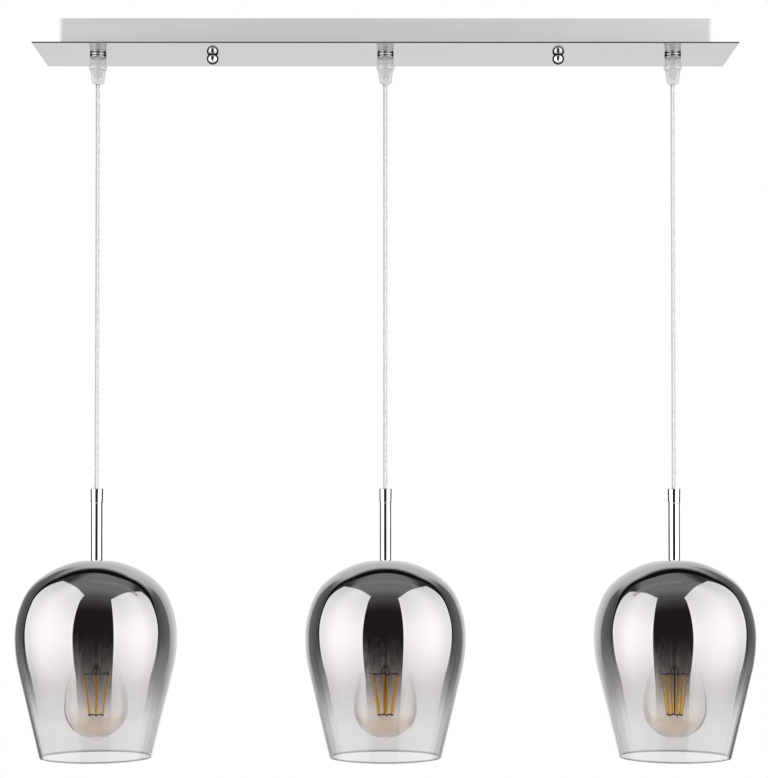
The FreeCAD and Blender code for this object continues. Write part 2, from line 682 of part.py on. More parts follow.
def seat_washer():
    """The plated washer under the rod, lying in the dimple of the glass."""
    washer = tube(WASHER_RADIUS, NIPPLE_RADIUS + SHANK_CLEARANCE, WASHER_END, STEM_END)
    return washer.makeChamfer(WASHER_BEVEL, ring_edges(washer, STEM_END, WASHER_RADIUS))


def shade_gaskets():
    """Soft rings on both sides of the glass, so that no metal bears on it."""
    hole = NIPPLE_RADIUS + SHANK_CLEARANCE
    above = tube(GASKET_RADIUS, hole, SEAT_Z, WASHER_END)
    below = tube(GASKET_RADIUS, hole, HOLDER_TOP, GLASS_UNDER)
    return [above, below]


def shade_moves():
    """The walk along the outside of the bell, from its hole to its rim."""
    crest = WASHER_RADIUS + SEAT_MARGIN + DIMPLE_WIDTH
    tilt = 2 * math.atan(DIMPLE_DEPTH / DIMPLE_WIDTH)
    roll = DIMPLE_WIDTH / (2 * math.sin(tilt))
    slope, end = math.radians(DOME_SLOPE), math.radians(SHOULDER_END)
    out = CREST_ARC * math.sin(slope) + SHOULDER_ARC * (math.sin(end) - math.sin(slope))
    out += SIDE_ARC * (1 - math.sin(end))
    dome = (SHADE_RADIUS - crest - out) / math.cos(slope)
    down = CREST_ARC * (1 - math.cos(slope)) + dome * math.sin(slope)
    down += SHOULDER_ARC * (math.cos(slope) - math.cos(end)) + SIDE_ARC * math.cos(end)
    across, below = SHADE_RIM_RADIUS - SHADE_RADIUS + BELLY_ARC, SHADE_HEIGHT - down
    reach = math.hypot(across, below)
    taper = math.atan2(below, across) - math.acos(BELLY_ARC / reach)
    return [
        ("line", WASHER_RADIUS + SEAT_MARGIN - GLASS_HOLE_RADIUS),
        ("arc", roll, math.degrees(tilt)), ("arc", roll, -math.degrees(tilt)),
        ("arc", CREST_ARC, -DOME_SLOPE), ("line", dome),
        ("arc", SHOULDER_ARC, DOME_SLOPE - SHOULDER_END), ("arc", SIDE_ARC, SHOULDER_END - 90),
        ("arc", BELLY_ARC, -math.degrees(taper)), ("line", math.sqrt(reach ** 2 - BELLY_ARC ** 2))]


def glass_shade():
    """The blown bell: an even wall from the dimpled seat over the dome to a rounded rim."""
    moves = shade_moves()
    outside = outline((GLASS_HOLE_RADIUS, SEAT_Z), 0, moves)
    inside = outline((GLASS_HOLE_RADIUS, SEAT_Z), 0, moves, GLASS_WALL)
    rim, lip = end_of(outside), end_of(inside)
    ahead = rim - outside[-1].valueAt(outside[-1].FirstParameter)
    ahead.normalize()
    rounded = Part.Arc(rim, (rim + lip) * 0.5 + ahead * (GLASS_WALL / 2), lip).toShape()
    hole = Part.LineSegment(start_of(outside), start_of(inside)).toShape()
    return revolved(outside + [rounded] + inside + [hole])


# ---- lampholder
def lampholder_cap():
    """The domed cap of the lampholder, screwed to the nipple against the underside of the glass."""
    shoulder = HOLDER_TOP - HOLDER_NECK
    knee = shoulder - HOLDER_DOME
    hole = NIPPLE_RADIUS + THREAD_CLEARANCE
    inner = HOLDER_RADIUS - HOLDER_WALL
    neck_end = HOLDER_TOP - NIPPLE_IN_HOLDER
    return turned([
        (hole, HOLDER_TOP), (HOLDER_NECK_RADIUS, HOLDER_TOP), (HOLDER_NECK_RADIUS, shoulder),
        (HOLDER_RADIUS - HOLDER_EDGE, knee), (HOLDER_RADIUS, knee - HOLDER_EDGE),
        (HOLDER_RADIUS, HOLDER_JOINT), (inner, HOLDER_JOINT), (inner, knee - HOLDER_EDGE),
        (inner - HOLDER_EDGE, knee - HOLDER_WALL), (HOLDER_NECK_RADIUS, neck_end),
        (hole, neck_end)])


def lampholder_body():
    """The skirt of the lampholder, with a spigot into the cap, a step for the insert and grip ribs."""
    spigot = HOLDER_RADIUS - HOLDER_WALL - SPIGOT_GAP
    top = HOLDER_JOINT + SKIRT_SPIGOT
    pocket = INSERT_RADIUS + SPIGOT_GAP
    end_radius = HOLDER_RADIUS - HOLDER_TAPER
    body = turned([
        (pocket, top), (spigot, top), (spigot, HOLDER_JOINT), (HOLDER_RADIUS, HOLDER_JOINT),
        (HOLDER_RADIUS, HOLDER_JOINT - SKIRT_BAND),
        (end_radius, HOLDER_JOINT - SKIRT_BAND - SKIRT_STEP), (end_radius, HOLDER_END + SKIRT_BEVEL),
        (end_radius - SKIRT_BEVEL, HOLDER_END), (SOCKET_RADIUS, HOLDER_END),
        (SOCKET_RADIUS, INSERT_END), (pocket, INSERT_END)])
    low = HOLDER_END + GRIP_RIB_START
    rib = cylinder(GRIP_RIB_RADIUS, low, low + GRIP_RIB_LENGTH, end_radius)
    ribs = []
    for i in range(GRIP_RIBS):
        one = rib.copy()
        one.rotate(Vector(0, 0, 0), Vector(0, 0, 1), i * 360 / GRIP_RIBS)
        ribs.append(one)
    return body.fuse(ribs).removeSplitter()


def socket_insert():
    """The moulded insert, its centre contact, and the end of the cord with its two cores."""
    insert_top = INSERT_END + INSERT_HEIGHT
    insert = cylinder(INSERT_RADIUS, INSERT_END, insert_top)
    contact_end = INSERT_END - CONTACT_HEIGHT
    contact = cylinder(CONTACT_RADIUS, contact_end, INSERT_END)
    contact = contact.makeFillet(CONTACT_ROUND, ring_edges(contact, contact_end, CONTACT_RADIUS))
    sheath_end = STEM_TOP + SPIGOT_LENGTH + SOCKET_RELIEF
    sheath = cylinder(CORD_RADIUS, sheath_end, COLLAR_TOP)
    cores = [cylinder(CORE_RADIUS, insert_top, sheath_end, 0, side * CORE_OFFSET) for side in (-1, 1)]
    return [insert, contact, sheath.fuse(cores).removeSplitter()]


# ---- bulb
def bulb_moves():
    """The walk down the outside of the bulb's glass, from its neck to the tip."""
    out = BULB_RADIUS - BULB_NECK_RADIUS
    widest = BULB_END + BULB_TIP + BULB_RADIUS
    down = BULB_TOP - BULB_CAP_END - widest
    bend = 2 * math.atan(out / down)
    both = down / math.sin(bend)
    tip = math.degrees(math.asin(BULB_TIP_RADIUS / BULB_RADIUS))
    return [
        ("line", BULB_CAP_END - BULB_NECK_TOP), ("arc", both * NECK_SHARE, math.degrees(bend)),
        ("arc", both * (1 - NECK_SHARE), -math.degrees(bend)), ("arc", BULB_RADIUS, tip - 90)]


def bulb_glass():
    """The clear envelope, open at its neck, with the little sealed tip at the bottom."""
    start = (BULB_NECK_RADIUS, BULB_TOP - BULB_NECK_TOP)
    outside = outline(start, -90, bulb_moves())
    inside = outline(start, -90, bulb_moves(), BULB_WALL)
    low, deep = end_of(outside), end_of(inside)
    foot = BULB_END + BULB_PIP_ROUND
    edges = outside + inside + segments([
        (low.x, low.z), (BULB_PIP_RADIUS, foot), (BULB_PIP_FLAT, BULB_END), (0, BULB_END),
        (0, deep.z), (deep.x, deep.z)])
    top, lip = start_of(outside), start_of(inside)
    return revolved(edges + [Part.LineSegment(top, lip).toShape()])


def bulb_cap():
    """The screw cap: contact stud, insulating cone and metal shell over the glass neck."""
    stud_end = BULB_TOP - CONTACT_STUD
    cone_end = stud_end - CAP_CONE
    end = BULB_TOP - BULB_CAP_END
    inner = BULB_CAP_RADIUS - BULB_CAP_WALL
    return turned([
        (0, BULB_TOP), (CONTACT_STUD_RADIUS, BULB_TOP), (CONTACT_STUD_RADIUS, stud_end),
        (CONTACT_STUD_RADIUS + CAP_STEP, stud_end), (BULB_CAP_RADIUS - CAP_STEP, cone_end),
        (BULB_CAP_RADIUS, cone_end - CAP_STEP), (BULB_CAP_RADIUS, end), (inner, end),
        (inner, cone_end - CAP_CROWN), (0, cone_end - CAP_CROWN)])


def bulb_stem():
    """The glass mount: a flare sealed in the neck, drawn down to a rounded end."""
    end = BULB_TOP - BULB_NECK_TOP - MOUNT_LENGTH
    top = BULB_TOP - BULB_NECK_TOP - FLARE_BELOW_NECK
    flare = min(FLARE_RADIUS, BULB_NECK_RADIUS - BULB_WALL - FLARE_GAP)
    return turned([
        (0, top), (flare, top), (flare, top - FLARE_THICK), (MOUNT_RADIUS, top - FLARE_THICK - FLARE_DRAW),
        (MOUNT_WAIST_RADIUS, end + MOUNT_WAIST), (MOUNT_RADIUS, end + MOUNT_PINCH),
        (MOUNT_END_RADIUS, end), (0, end)])


def spoke_wires(height, radius):
    """A hub on the axis and thin support wires out to every filament."""
    hub = cylinder(HUB_RADIUS, height - WIRE_RADIUS, height + WIRE_RADIUS)
    wires = []
    for i in range(FILAMENT_COUNT):
        a = math.radians(FILAMENT_TURN + i * 360 / FILAMENT_COUNT)
        wires.append(Part.makeCylinder(WIRE_RADIUS, radius, Vector(0, 0, height),
                                       Vector(math.cos(a), math.sin(a), 0)))
    return hub.fuse(wires).removeSplitter()


def bulb_filaments():
    """The slanting filament sticks between two stars of support wire, on a rod from the mount."""
    top = BULB_TOP - BULB_NECK_TOP - MOUNT_LENGTH - FILAMENT_DROP
    end = top - FILAMENT_LENGTH
    mast = cylinder(MAST_RADIUS, end - WIRE_RADIUS, top + FILAMENT_DROP)
    stars = [spoke_wires(top, FILAMENT_TOP_RADIUS), spoke_wires(end, FILAMENT_END_RADIUS)]
    solids = [mast.fuse(stars).removeSplitter()]
    inward = FILAMENT_TOP_RADIUS - FILAMENT_END_RADIUS
    length = math.hypot(FILAMENT_LENGTH, inward) - 2 * (WIRE_RADIUS + FILAMENT_GAP)
    lean = math.degrees(math.atan(inward / FILAMENT_LENGTH))
    for i in range(FILAMENT_COUNT):
        stick = Part.makeBox(FILAMENT_THICK, FILAMENT_WIDTH, length,
                             Vector(-FILAMENT_THICK / 2, -FILAMENT_WIDTH / 2, -length / 2))
        stick.rotate(Vector(0, 0, 0), Vector(0, 1, 0), lean)
        stick.translate(Vector(FILAMENT_TOP_RADIUS - inward / 2, 0, (top + end) / 2))
        stick.rotate(Vector(0, 0, 0), Vector(0, 0, 1), FILAMENT_TURN + i * 360 / FILAMENT_COUNT)
        solids.append(stick)
    return solids


# ---- all the pieces, each under the name that a fitter would use
def fixed_pieces():
    return {
        "ceiling_bracket": ceiling_bracket(),
        "bracket_studs": bracket_studs(),
        "canopy_box": canopy_box(),
        "canopy_plate": canopy_plate(),
        "cap_nuts": cap_nuts(),
        "terminal_block": terminal_block(),
        "fixing_screws": fixing_screws(),
        "live_leads": live_leads(),
        "neutral_leads": neutral_leads(),
        "earth_lead": earth_lead(),
        "grip_rings": at_pendants(grip_ring()),
        "grip_bodies": at_pendants(grip_body()),
        "grip_caps": at_pendants(grip_cap()),
        "grip_locknuts": at_pendants(grip_locknut()),
        "cord_tails": at_pendants(cord_tail()),
    }


def pendant_pieces():
    """The pieces of one pendant, made on the axis at the middle of the canopy."""
    return {
        "cord_neck": cord_neck(),
        "cord": cord(),
        "rod_collar": rod_collar(),
        "stem_tube": stem_tube(),
        "threaded_nipple": threaded_nipple(),
        "seat_washer": seat_washer(),
        "shade_gaskets": shade_gaskets(),
        "glass_shade": glass_shade(),
        "lampholder_cap": lampholder_cap(),
        "lampholder_body": lampholder_body(),
        "socket_insert": socket_insert(),
        "bulb_glass": bulb_glass(),
        "bulb_cap": bulb_cap(),
        "bulb_stem": bulb_stem(),
        "bulb_filaments": bulb_filaments(),
    }


def joined(piece):
    """A piece of several solids, such as like fasteners, as one shape that keeps them apart."""
    return Part.makeCompound(piece) if isinstance(piece, list) else piece


def write(name, shape):
    shape.exportStep("parts/" + name + ".step")


def main():
    os.makedirs("parts", exist_ok=True)
    for name, piece in fixed_pieces().items():
        write(name, joined(piece))
    for name, piece in pendant_pieces().items():
        for side, x in PENDANTS.items():
            write(side + "_" + name, moved(joined(piece), x))


main()
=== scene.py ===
import math

import bpy
import numpy as np
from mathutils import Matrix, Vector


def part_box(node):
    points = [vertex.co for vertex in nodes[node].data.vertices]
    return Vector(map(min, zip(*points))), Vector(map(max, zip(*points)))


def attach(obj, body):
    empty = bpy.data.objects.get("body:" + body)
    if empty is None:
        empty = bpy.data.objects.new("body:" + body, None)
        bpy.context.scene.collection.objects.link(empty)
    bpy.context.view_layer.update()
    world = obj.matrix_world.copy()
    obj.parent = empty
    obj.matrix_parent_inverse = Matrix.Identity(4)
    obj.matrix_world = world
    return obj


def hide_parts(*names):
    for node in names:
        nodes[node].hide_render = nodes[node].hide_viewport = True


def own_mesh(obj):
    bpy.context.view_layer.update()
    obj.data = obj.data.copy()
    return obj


# A linear pendant light: a shallow brushed canopy, three clear cords in clear grips, plated rods,
# bells of metallised glass and clear bulbs with amber filament sticks.
# Metres, +Z up. The origin is the middle of the ceiling face and -Y is towards the viewer.

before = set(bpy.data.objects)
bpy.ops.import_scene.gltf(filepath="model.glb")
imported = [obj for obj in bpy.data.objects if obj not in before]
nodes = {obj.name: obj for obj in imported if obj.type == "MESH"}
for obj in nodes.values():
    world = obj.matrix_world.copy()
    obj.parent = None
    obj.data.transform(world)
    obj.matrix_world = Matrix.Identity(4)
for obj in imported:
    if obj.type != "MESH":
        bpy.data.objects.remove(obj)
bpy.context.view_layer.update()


MM = 0.001
SIDES = ("left", "centre", "right")
TURNS = 192                      # steps round the large glass
SMALL_TURNS = 96                 # steps round a rod, a ring or a grip
BULB_TURNS = 128
CAP_TURNS = 160                  # steps round a fluted cap
SHEATH_TURNS = 32
WIRE_TURNS = 10
STICK_TURNS = 16

# ================================================================ sizes that the frame doesn't give

BEVEL = 0.4 * MM
FINE_BEVEL = 0.2 * MM

# ---- cap nuts, rings and grips: radii, unless a name or a note says otherwise
NUT_FLAT = math.radians(45)      # where the ball of a cap nut meets its flat top, above its middle
RING_BORE = 5.2 * MM
GROOVE_HALF = 0.9 * MM           # half the height of the groove
GROOVE_DEPTH = 1.8 * MM
GRIP_BORE = 2.6 * MM
GRIP_SHANK = 5.0 * MM
GRIP_BARREL = 8.25 * MM
GRIP_FLANGE = 9.0 * MM
GRIP_COLLET = 4.6 * MM
COLLET_TAPER = 0.8 * MM
BARREL_LENGTH = 8.0 * MM         # from the ring to the flange
FLANGE_STEP = 0.5 * MM
CAP_TOP = 7.5 * MM
CAP_END = 6.25 * MM
CAP_MOUTH = 4.8 * MM
CAP_BORE = 2.8 * MM
CAP_SKIN = 0.5 * MM              # the flutes spare this much round the mouth
CAP_MOUTH_DEPTH = 2.9 * MM
CAP_SEAT_DEPTH = 7.0 * MM
GRIP_FLUTES = 10
FLUTE_DEPTH = 0.55 * MM
FLUTE_STOP = 1.7 * MM            # height of the plain band above the flutes
FLUTE_FADE = 1.2 * MM

# ---- cords
CORD_RADIUS = 2.5 * MM
CORD_ROUTE = (-0.19, -0.33)      # heights of the route's middle points
STEEL_WIRE_RADIUS = 0.8 * MM
STEEL_WIRE_SHIFT = -1.5 * MM
CORE_RADIUS = 0.42 * MM
CORE_PITCH = 23.0 * MM
CORE_SHIFT = 0.9 * MM
CORE_TWIST = 0.6 * MM            # radius on which the two cores wind
CORE_STEPS = 420

# ---- rods
COLLAR_BORE = 2.6 * MM
COLLAR_TAPER = 0.25 * MM
COLLAR_ROUND = (0.9 * MM, 0.8 * MM)     # at its top and at its lower end
STEM_BORE = 3.8 * MM
STEM_ROUND = (0.65 * MM, 1.9 * MM)      # at the collar and at the foot
SEAM = 0.12 * MM                 # between collar and rod

# ---- glass bells: seat and dimple, then the arcs from the crest down and the slopes at their ends
GLASS_WALL = 2.5 * MM
GLASS_HOLE = 4.5 * MM
GLASS_SEAT = 10.5 * MM           # radius of the flat under the washer
GASKET_THICK = 1.0 * MM
DIMPLE_WIDTH = 5.5 * MM
DIMPLE_DEPTH = 2.6 * MM
CREST_ARC = 8.0 * MM
CREST_SLOPE = math.radians(10)
CROWN_ARC = 85.0 * MM
CROWN_SLOPE = math.radians(26.5)
DOME_ARC = 105.0 * MM
DOME_SLOPE = math.radians(36)
SHOULDER_END = math.radians(66)
SIDE_ARC = 94.7 * MM
BELLY_ARC = 147.5 * MM
RIM_RADIUS = 56.4 * MM

# ---- coating of the bells, by height: full above the first, gone below the second
COAT_FULL = -0.607
COAT_NONE = -0.700
TINT_FULL = -0.660               # the coating's grey goes on a little below its gloss
TINT_NONE = -0.712
PAINTED_RIM_SHADE_START = -0.7361              # painted shade: the rounded edge of the rim is painted darker from here
PAINTED_RIM_SHADE_END = -0.7376

# ---- bulbs
BULB_WALL = 0.8 * MM
BULB_NECK_RADIUS = 12.2 * MM
BULB_NECK_LINE = 9.0 * MM
BULB_TIP_RADIUS = 7.0 * MM
BULB_TIP = 2.8 * MM
NECK_SHARE = 0.38                # the hollow arc's share of the two arcs of the neck
WARM_START = -0.694              # the envelope is warmer below the sticks
WARM_END = -0.699
STICKS = 6
STICK_START = math.radians(98)   # where the first stick stands
STICK_WIDTH = 2.5 * MM
STICK_THICK = 1.5 * MM
STICK_GAP = 0.2 * MM             # from a stick's end to its wire
STICK_TIP = STICK_WIDTH / 2.6    # radius of the metal tip at each end
STICK_TIP_HALF = 0.9 * MM
CHIP_PITCH = 2.2 * MM
WIRE_RADIUS = 0.5 * MM
MAST_RADIUS = 0.8 * MM
BEAD_RADIUS = 2.0 * MM
BEAD_HEIGHT = 7.0 * MM
LEAD_SPREAD = 4.4 * MM
LEAD_SHARE = 0.4                 # the leads' spread at the glass mount, of that at the star
LEAD_RISE = 0.5 * MM
STAR_DROP = 6.5 * MM             # from the glass mount to the upper star
STAR_TOP_RADIUS = 13.5 * MM
STAR_END_RADIUS = 7.6 * MM


def axis_x(side):
    """Where one pendant hangs along the canopy."""
    low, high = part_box(side + "_stem_tube")
    return (low.x + high.x) / 2


def ends_and_radius(node):
    """The lower end, the upper end and the radius of a node that is round about an upright axis."""
    low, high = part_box(node)
    return low.z, high.z, (high.y - low.y) / 2


# ================================================================ shader graphs

class Value:
    """A socket. Arithmetic on it adds Math nodes, so a pattern reads as an expression."""

    def __init__(self, graph, socket):
        self.graph = graph
        self.socket = socket

    def __add__(self, other):
        return self.graph.calc("ADD", self, other)

    def __mul__(self, other):
        return self.graph.calc("MULTIPLY", self, other)

    def __sub__(self, other):
        return self.graph.calc("SUBTRACT", self, other)

    def __rsub__(self, other):
        return self.graph.calc("SUBTRACT", other, self)

    def __truediv__(self, other):
        return self.graph.calc("DIVIDE", self, other)

    __radd__ = __add__
    __rmul__ = __mul__

    def step(self, start, end, low=0.0, high=1.0):
        """low before start, high past end and a smooth rise between them."""
        settings = {"interpolation_type": "SMOOTHSTEP"}
        inputs = {0: self, 1: start, 2: end, 3: low, 4: high}
        return self.graph.node("ShaderNodeMapRange", settings, inputs)


class Graph:
    """The nodes of one material, or of the world."""

    def __init__(self, tree, kind):
        self.tree = tree
        self.tree.nodes.clear()
        self.end = tree.nodes.new(kind)

    def node(self, kind, settings=None, inputs=None, out=0):
        """Adds one node: its settings first, then what its sockets hold. Returns one of its outputs."""
        made = self.tree.nodes.new(kind)
        for name, setting in (settings or {}).items():
            setattr(made, name, setting)
        for key, value in (inputs or {}).items():
            self.feed(made.inputs[key], value)
        return Value(self, made.outputs[out])

    def feed(self, socket, value):
        """Links a socket to a Value, or sets it to a plain number or colour."""
        if isinstance(value, Value):
            self.tree.links.new(value.socket, socket)
        elif socket.type == "RGBA":
            socket.default_value = (*value[:3], 1.0)
        else:
            socket.default_value = value

    def calc(self, operation, *terms):
        """One Math node on values or numbers."""
        return self.node("ShaderNodeMath", {"operation": operation}, dict(enumerate(terms)))

    def xyz(self, vector):
        """The three parts of a vector."""
        first = self.node("ShaderNodeSeparateXYZ", None, {0: vector})
        split = first.socket.node
        return [Value(self, split.outputs[i]) for i in range(3)]

    def here(self):
        """The three Object coordinates."""
        return self.xyz(self.node("ShaderNodeTexCoord", out="Object"))

    def noise(self, scale, detail=3.0, roughness=0.5):
        """Soft noise on Object coordinates, with a fineness of its own along each axis."""
        there = self.node("ShaderNodeTexCoord", out="Object")
        place = self.node("ShaderNodeMapping", None, {"Vector": there, "Scale": scale})
        inputs = {"Vector": place, "Scale": 1.0, "Detail": detail, "Roughness": roughness}
        return self.node("ShaderNodeTexNoise", {"noise_dimensions": "3D"}, inputs)

    def edge(self, blend):
        """How far the surface turns away from the eye."""
        return self.node("ShaderNodeLayerWeight", None, {"Blend": blend}, out="Facing")

    def blend(self, factor, first, second):
        """A colour between two others."""
        return self.node("ShaderNodeMix", {"data_type": "RGBA"}, {0: factor, 6: first, 7: second}, out=2)

    def bump(self, height, distance):
        """A relief of a height between 0 and 1 times a distance."""
        inputs = {"Height": height, "Distance": distance, "Strength": 1.0}
        return self.node("ShaderNodeBump", None, inputs)

    def shader(self, **inputs):
        """A Principled surface, by the names of its sockets with underscores."""
        named = {name.replace("_", " "): value for name, value in inputs.items()}
        return self.node("ShaderNodeBsdfPrincipled", None, named)

    def finish(self, surface):
        self.tree.links.new(surface.socket, self.end.inputs["Surface"])


def material(name):
    """A new material and its graph."""
    made = bpy.data.materials.new(name)
    made.use_nodes = True
    return made, Graph(made.node_tree, "ShaderNodeOutputMaterial")


# ================================================================ finishes

def brushed_steel():
    """Satin plate, brushed along the canopy: long fine scratches in tone, gloss and relief."""
    made, g = material("brushed_satin_plate")
    fine = g.noise((6, 900, 900), 4.0, 0.6)
    broad = g.noise((3, 60, 60), 2.0)
    tone = g.blend(fine * 0.7 + broad * 0.3, (0.59, 0.573, 0.59), (0.79, 0.77, 0.79))
    g.finish(g.shader(Base_Color=tone, Metallic=0.25, Roughness=0.34 + fine * 0.16,
                      Normal=g.bump(fine, 0.00004)))
    return made


def polished_plate():
    """Polished plate with a slight haze and faint wipe marks. Its upper face is satin."""
    made, g = material("polished_plate")
    _, _, z = g.here()
    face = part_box("canopy_plate")[1].z
    top = z.step(face - 0.1 * MM, face - 0.02 * MM)
    haze = g.noise((8, 40, 40))
    grain = g.noise((10, 1200, 1200), 2.0)
    tone = g.blend(haze, (0.505, 0.487, 0.505), (0.555, 0.535, 0.555))
    tone = g.blend(top, tone, (0.66, 0.64, 0.66))
    g.finish(g.shader(Base_Color=tone, Metallic=1.0 - top * 0.75,
                      Roughness=0.05 + haze * 0.07 + grain * 0.03 + top * 0.3,
                      Normal=g.bump(grain, 0.000004)))
    return made


def chrome(name, roughness, painted_dark_from=0.28):
    """Bright plate over a buffed blank: nearly a mirror, with faint hairlines and a breath of haze.

    Its colour is painted dark where it turns away from the eye: a painted reflection, like the dark
    edges of a polished bar in a white room.
    """
    made, g = material(name)
    hair = g.noise((220, 220, 900))
    haze = g.noise((90, 90, 90), 2.0)
    tone = g.blend(haze, (0.88, 0.87, 0.88), (0.95, 0.94, 0.95))
    # painted reflection: the colour goes nearly black where the surface turns away from the eye
    tone = g.blend(g.edge(0.5).step(painted_dark_from, painted_dark_from + 0.18), tone, (0.07, 0.07, 0.08))
    g.finish(g.shader(Base_Color=tone, Metallic=1.0, Roughness=roughness + hair * 0.035,
                      Specular_Tint=(0.12, 0.12, 0.13), Normal=g.bump(hair, 0.000002)))
    return made


def zinc():
    """Passivated zinc on pressed and turned steel: cool grey, faintly yellow in clouds, with wear."""
    made, g = material("zinc_plated_steel")
    cloud = g.noise((70, 70, 70), 4.0)
    grain = g.noise((900, 900, 900), 2.0)
    tone = g.blend(cloud.step(0.35, 0.7), (0.58, 0.60, 0.63), (0.66, 0.64, 0.56))
    g.finish(g.shader(Base_Color=tone, Metallic=0.9, Roughness=0.28 + cloud * 0.2,
                      Normal=g.bump(grain, 0.00002)))
    return made


def clear_nylon():
    """Moulded translucent nylon: milky in the thick, with flow marks and a soft gloss. Its colour is
    painted greyer where it turns away from the eye: painted shade.
    """
    made, g = material("translucent_nylon")
    flow = g.noise((160, 160, 60))
    grain = g.noise((1500, 1500, 1500), 1.0)
    edge = g.edge(0.35)
    tone = g.blend(flow, (0.96, 0.94, 0.96), (1.0, 0.98, 1.0))
    # painted shade: the colour turns grey where the surface turns away from the eye
    tone = g.blend(edge, tone, (0.70, 0.69, 0.71))
    g.finish(g.shader(Base_Color=tone, Roughness=0.22 + grain * 0.1, IOR=1.53,
                      Alpha=0.38 + edge * 0.5, Normal=g.bump(flow, 0.00005)))
    return made


def clear_sheath():
    """Clear cord sheath: almost nothing face on, a grey line at each edge where it bends the light."""
    made, g = material("clear_cord_sheath")
    wave = g.noise((200, 200, 25), 2.0)
    edge = g.edge(0.3)
    tone = g.blend(edge, (0.93, 0.92, 0.93), (0.80, 0.79, 0.81))
    g.finish(g.shader(Base_Color=tone, Roughness=0.08 + wave * 0.1, IOR=1.45,
                      Alpha=0.04 + edge.step(0.4, 0.95) * 0.22))
    return made


def stranded_wire(name, dark, light, pitch):
    """Bare strands: a fine diagonal lay in tone and relief."""
    made, g = material(name)
    x, _, z = g.here()
    lay = g.calc("SINE", (z + x * 2.0) * (math.tau / pitch))
    tone = g.blend(lay * 0.5 + 0.5, dark, light)
    g.finish(g.shader(Base_Color=tone, Metallic=0.85, Roughness=0.35, Normal=g.bump(lay, 0.00005)))
    return made


def bell_glass(name, coated):
    """Smoke glass. The outer face carries a vapour coating, full at the dome and gone by the rim. The
    rounded edge of the rim is painted darker: painted shade.
    """
    made, g = material(name)
    _, _, z = g.here()
    wave = g.noise((14, 14, 9), 1.0)
    seeds = g.noise((300, 300, 220), 1.0).step(0.74, 0.80)
    cover, tone = 0.0, (0.81, 0.80, 0.805)
    if coated:
        level = z + (g.noise((25, 25, 8), 2.0) * 0.010 - 0.005)
        cover = level.step(COAT_NONE, COAT_FULL)
        tone = g.blend(level.step(TINT_NONE, TINT_FULL), (0.79, 0.78, 0.785), (0.435, 0.42, 0.43))
    # painted shade: the rounded edge of the rim is painted dark grey
    tone = g.blend(z.step(PAINTED_RIM_SHADE_START, PAINTED_RIM_SHADE_END), tone, (0.40, 0.39, 0.40))
    g.finish(g.shader(Base_Color=tone, Metallic=cover, Roughness=0.0, IOR=1.28, Transmission_Weight=1.0,
                      Normal=g.bump(wave + seeds * 0.004, 0.0006)))
    return made


def bulb_clear():
    """Thin clear envelope with the faint ripple of blown glass, warmer towards its end. Its colour is
    painted greyer at its flanks, where it turns away from the eye: painted shade.
    """
    made, g = material("clear_bulb_glass")
    _, _, z = g.here()
    wave = g.noise((40, 40, 25), 1.0)
    tone = g.blend(z.step(WARM_START, WARM_END), (0.955, 0.925, 0.89), (0.93, 0.86, 0.78))
    # painted shade: the colour turns grey at the flanks, where the glass turns away from the eye
    tone = g.blend(g.edge(0.5).step(0.25, 0.6), tone, (0.86, 0.845, 0.835))
    g.finish(g.shader(Base_Color=tone, Roughness=0.0, IOR=1.33, Transmission_Weight=1.0,
                      Normal=g.bump(wave, 0.0002)))
    return made


def phosphor():
    """Amber phosphor on a filament stick, beaded by the chips under it. It glows faintly though the bulb
    is off: painted light.
    """
    made, g = material("amber_phosphor")
    _, _, z = g.here()
    beads = g.calc("SINE", z * (math.tau / CHIP_PITCH))
    grain = g.noise((2500, 2500, 2500), 2.0)
    tone = g.blend(beads * 0.35 + grain * 0.5, (0.98, 0.50, 0.03), (1.0, 0.68, 0.10))
    # painted light: a faint glow in the phosphor's own colour, though the bulb is off
    g.finish(g.shader(Base_Color=tone, Roughness=0.55, Emission_Color=tone, Emission_Strength=0.25,
                      Normal=g.bump(beads * 0.3 + grain, 0.00008)))
    return made


def plain_metal(name, dark, light, roughness, scale):
    """A small turned or drawn metal part with faint clouds."""
    made, g = material(name)
    cloud = g.noise((scale, scale, scale))
    g.finish(g.shader(Base_Color=g.blend(cloud, dark, light), Metallic=1.0,
                      Roughness=roughness + cloud * 0.1, Normal=g.bump(cloud, 0.00001)))
    return made


def moulded(name, dark, light, roughness, grain_depth=0.00003, gloss=1.46):
    """A moulded plastic, rubber or glazed part: fine spark texture over slow clouds."""
    made, g = material(name)
    cloud = g.noise((60, 60, 60))
    grain = g.noise((1800, 1800, 1800), 2.0)
    g.finish(g.shader(Base_Color=g.blend(cloud, dark, light), Roughness=roughness + grain * 0.12,
                      IOR=gloss, Normal=g.bump(grain, grain_depth)))
    return made


def earth_insulation():
    """Green insulation with a yellow stripe that winds slowly along it."""
    made, g = material("green_and_yellow_insulation")
    x, y, _ = g.here()
    wind = g.calc("SINE", (x + y * 2.0) * 240.0)
    tone = g.blend(wind.step(0.2, 0.3), (0.09, 0.42, 0.12), (0.88, 0.76, 0.08))
    g.finish(g.shader(Base_Color=tone, Roughness=0.42))
    return made


def floor_paint():
    """A plain pale floor."""
    made, g = material("pale_floor")
    cloud = g.noise((0.8, 0.8, 0.8), 2.0)
    tone = g.blend(cloud, (0.88, 0.88, 0.88), (0.90, 0.90, 0.90))
    g.finish(g.shader(Base_Color=tone, Roughness=0.9))
    return made


# ================================================================ outlines and meshes

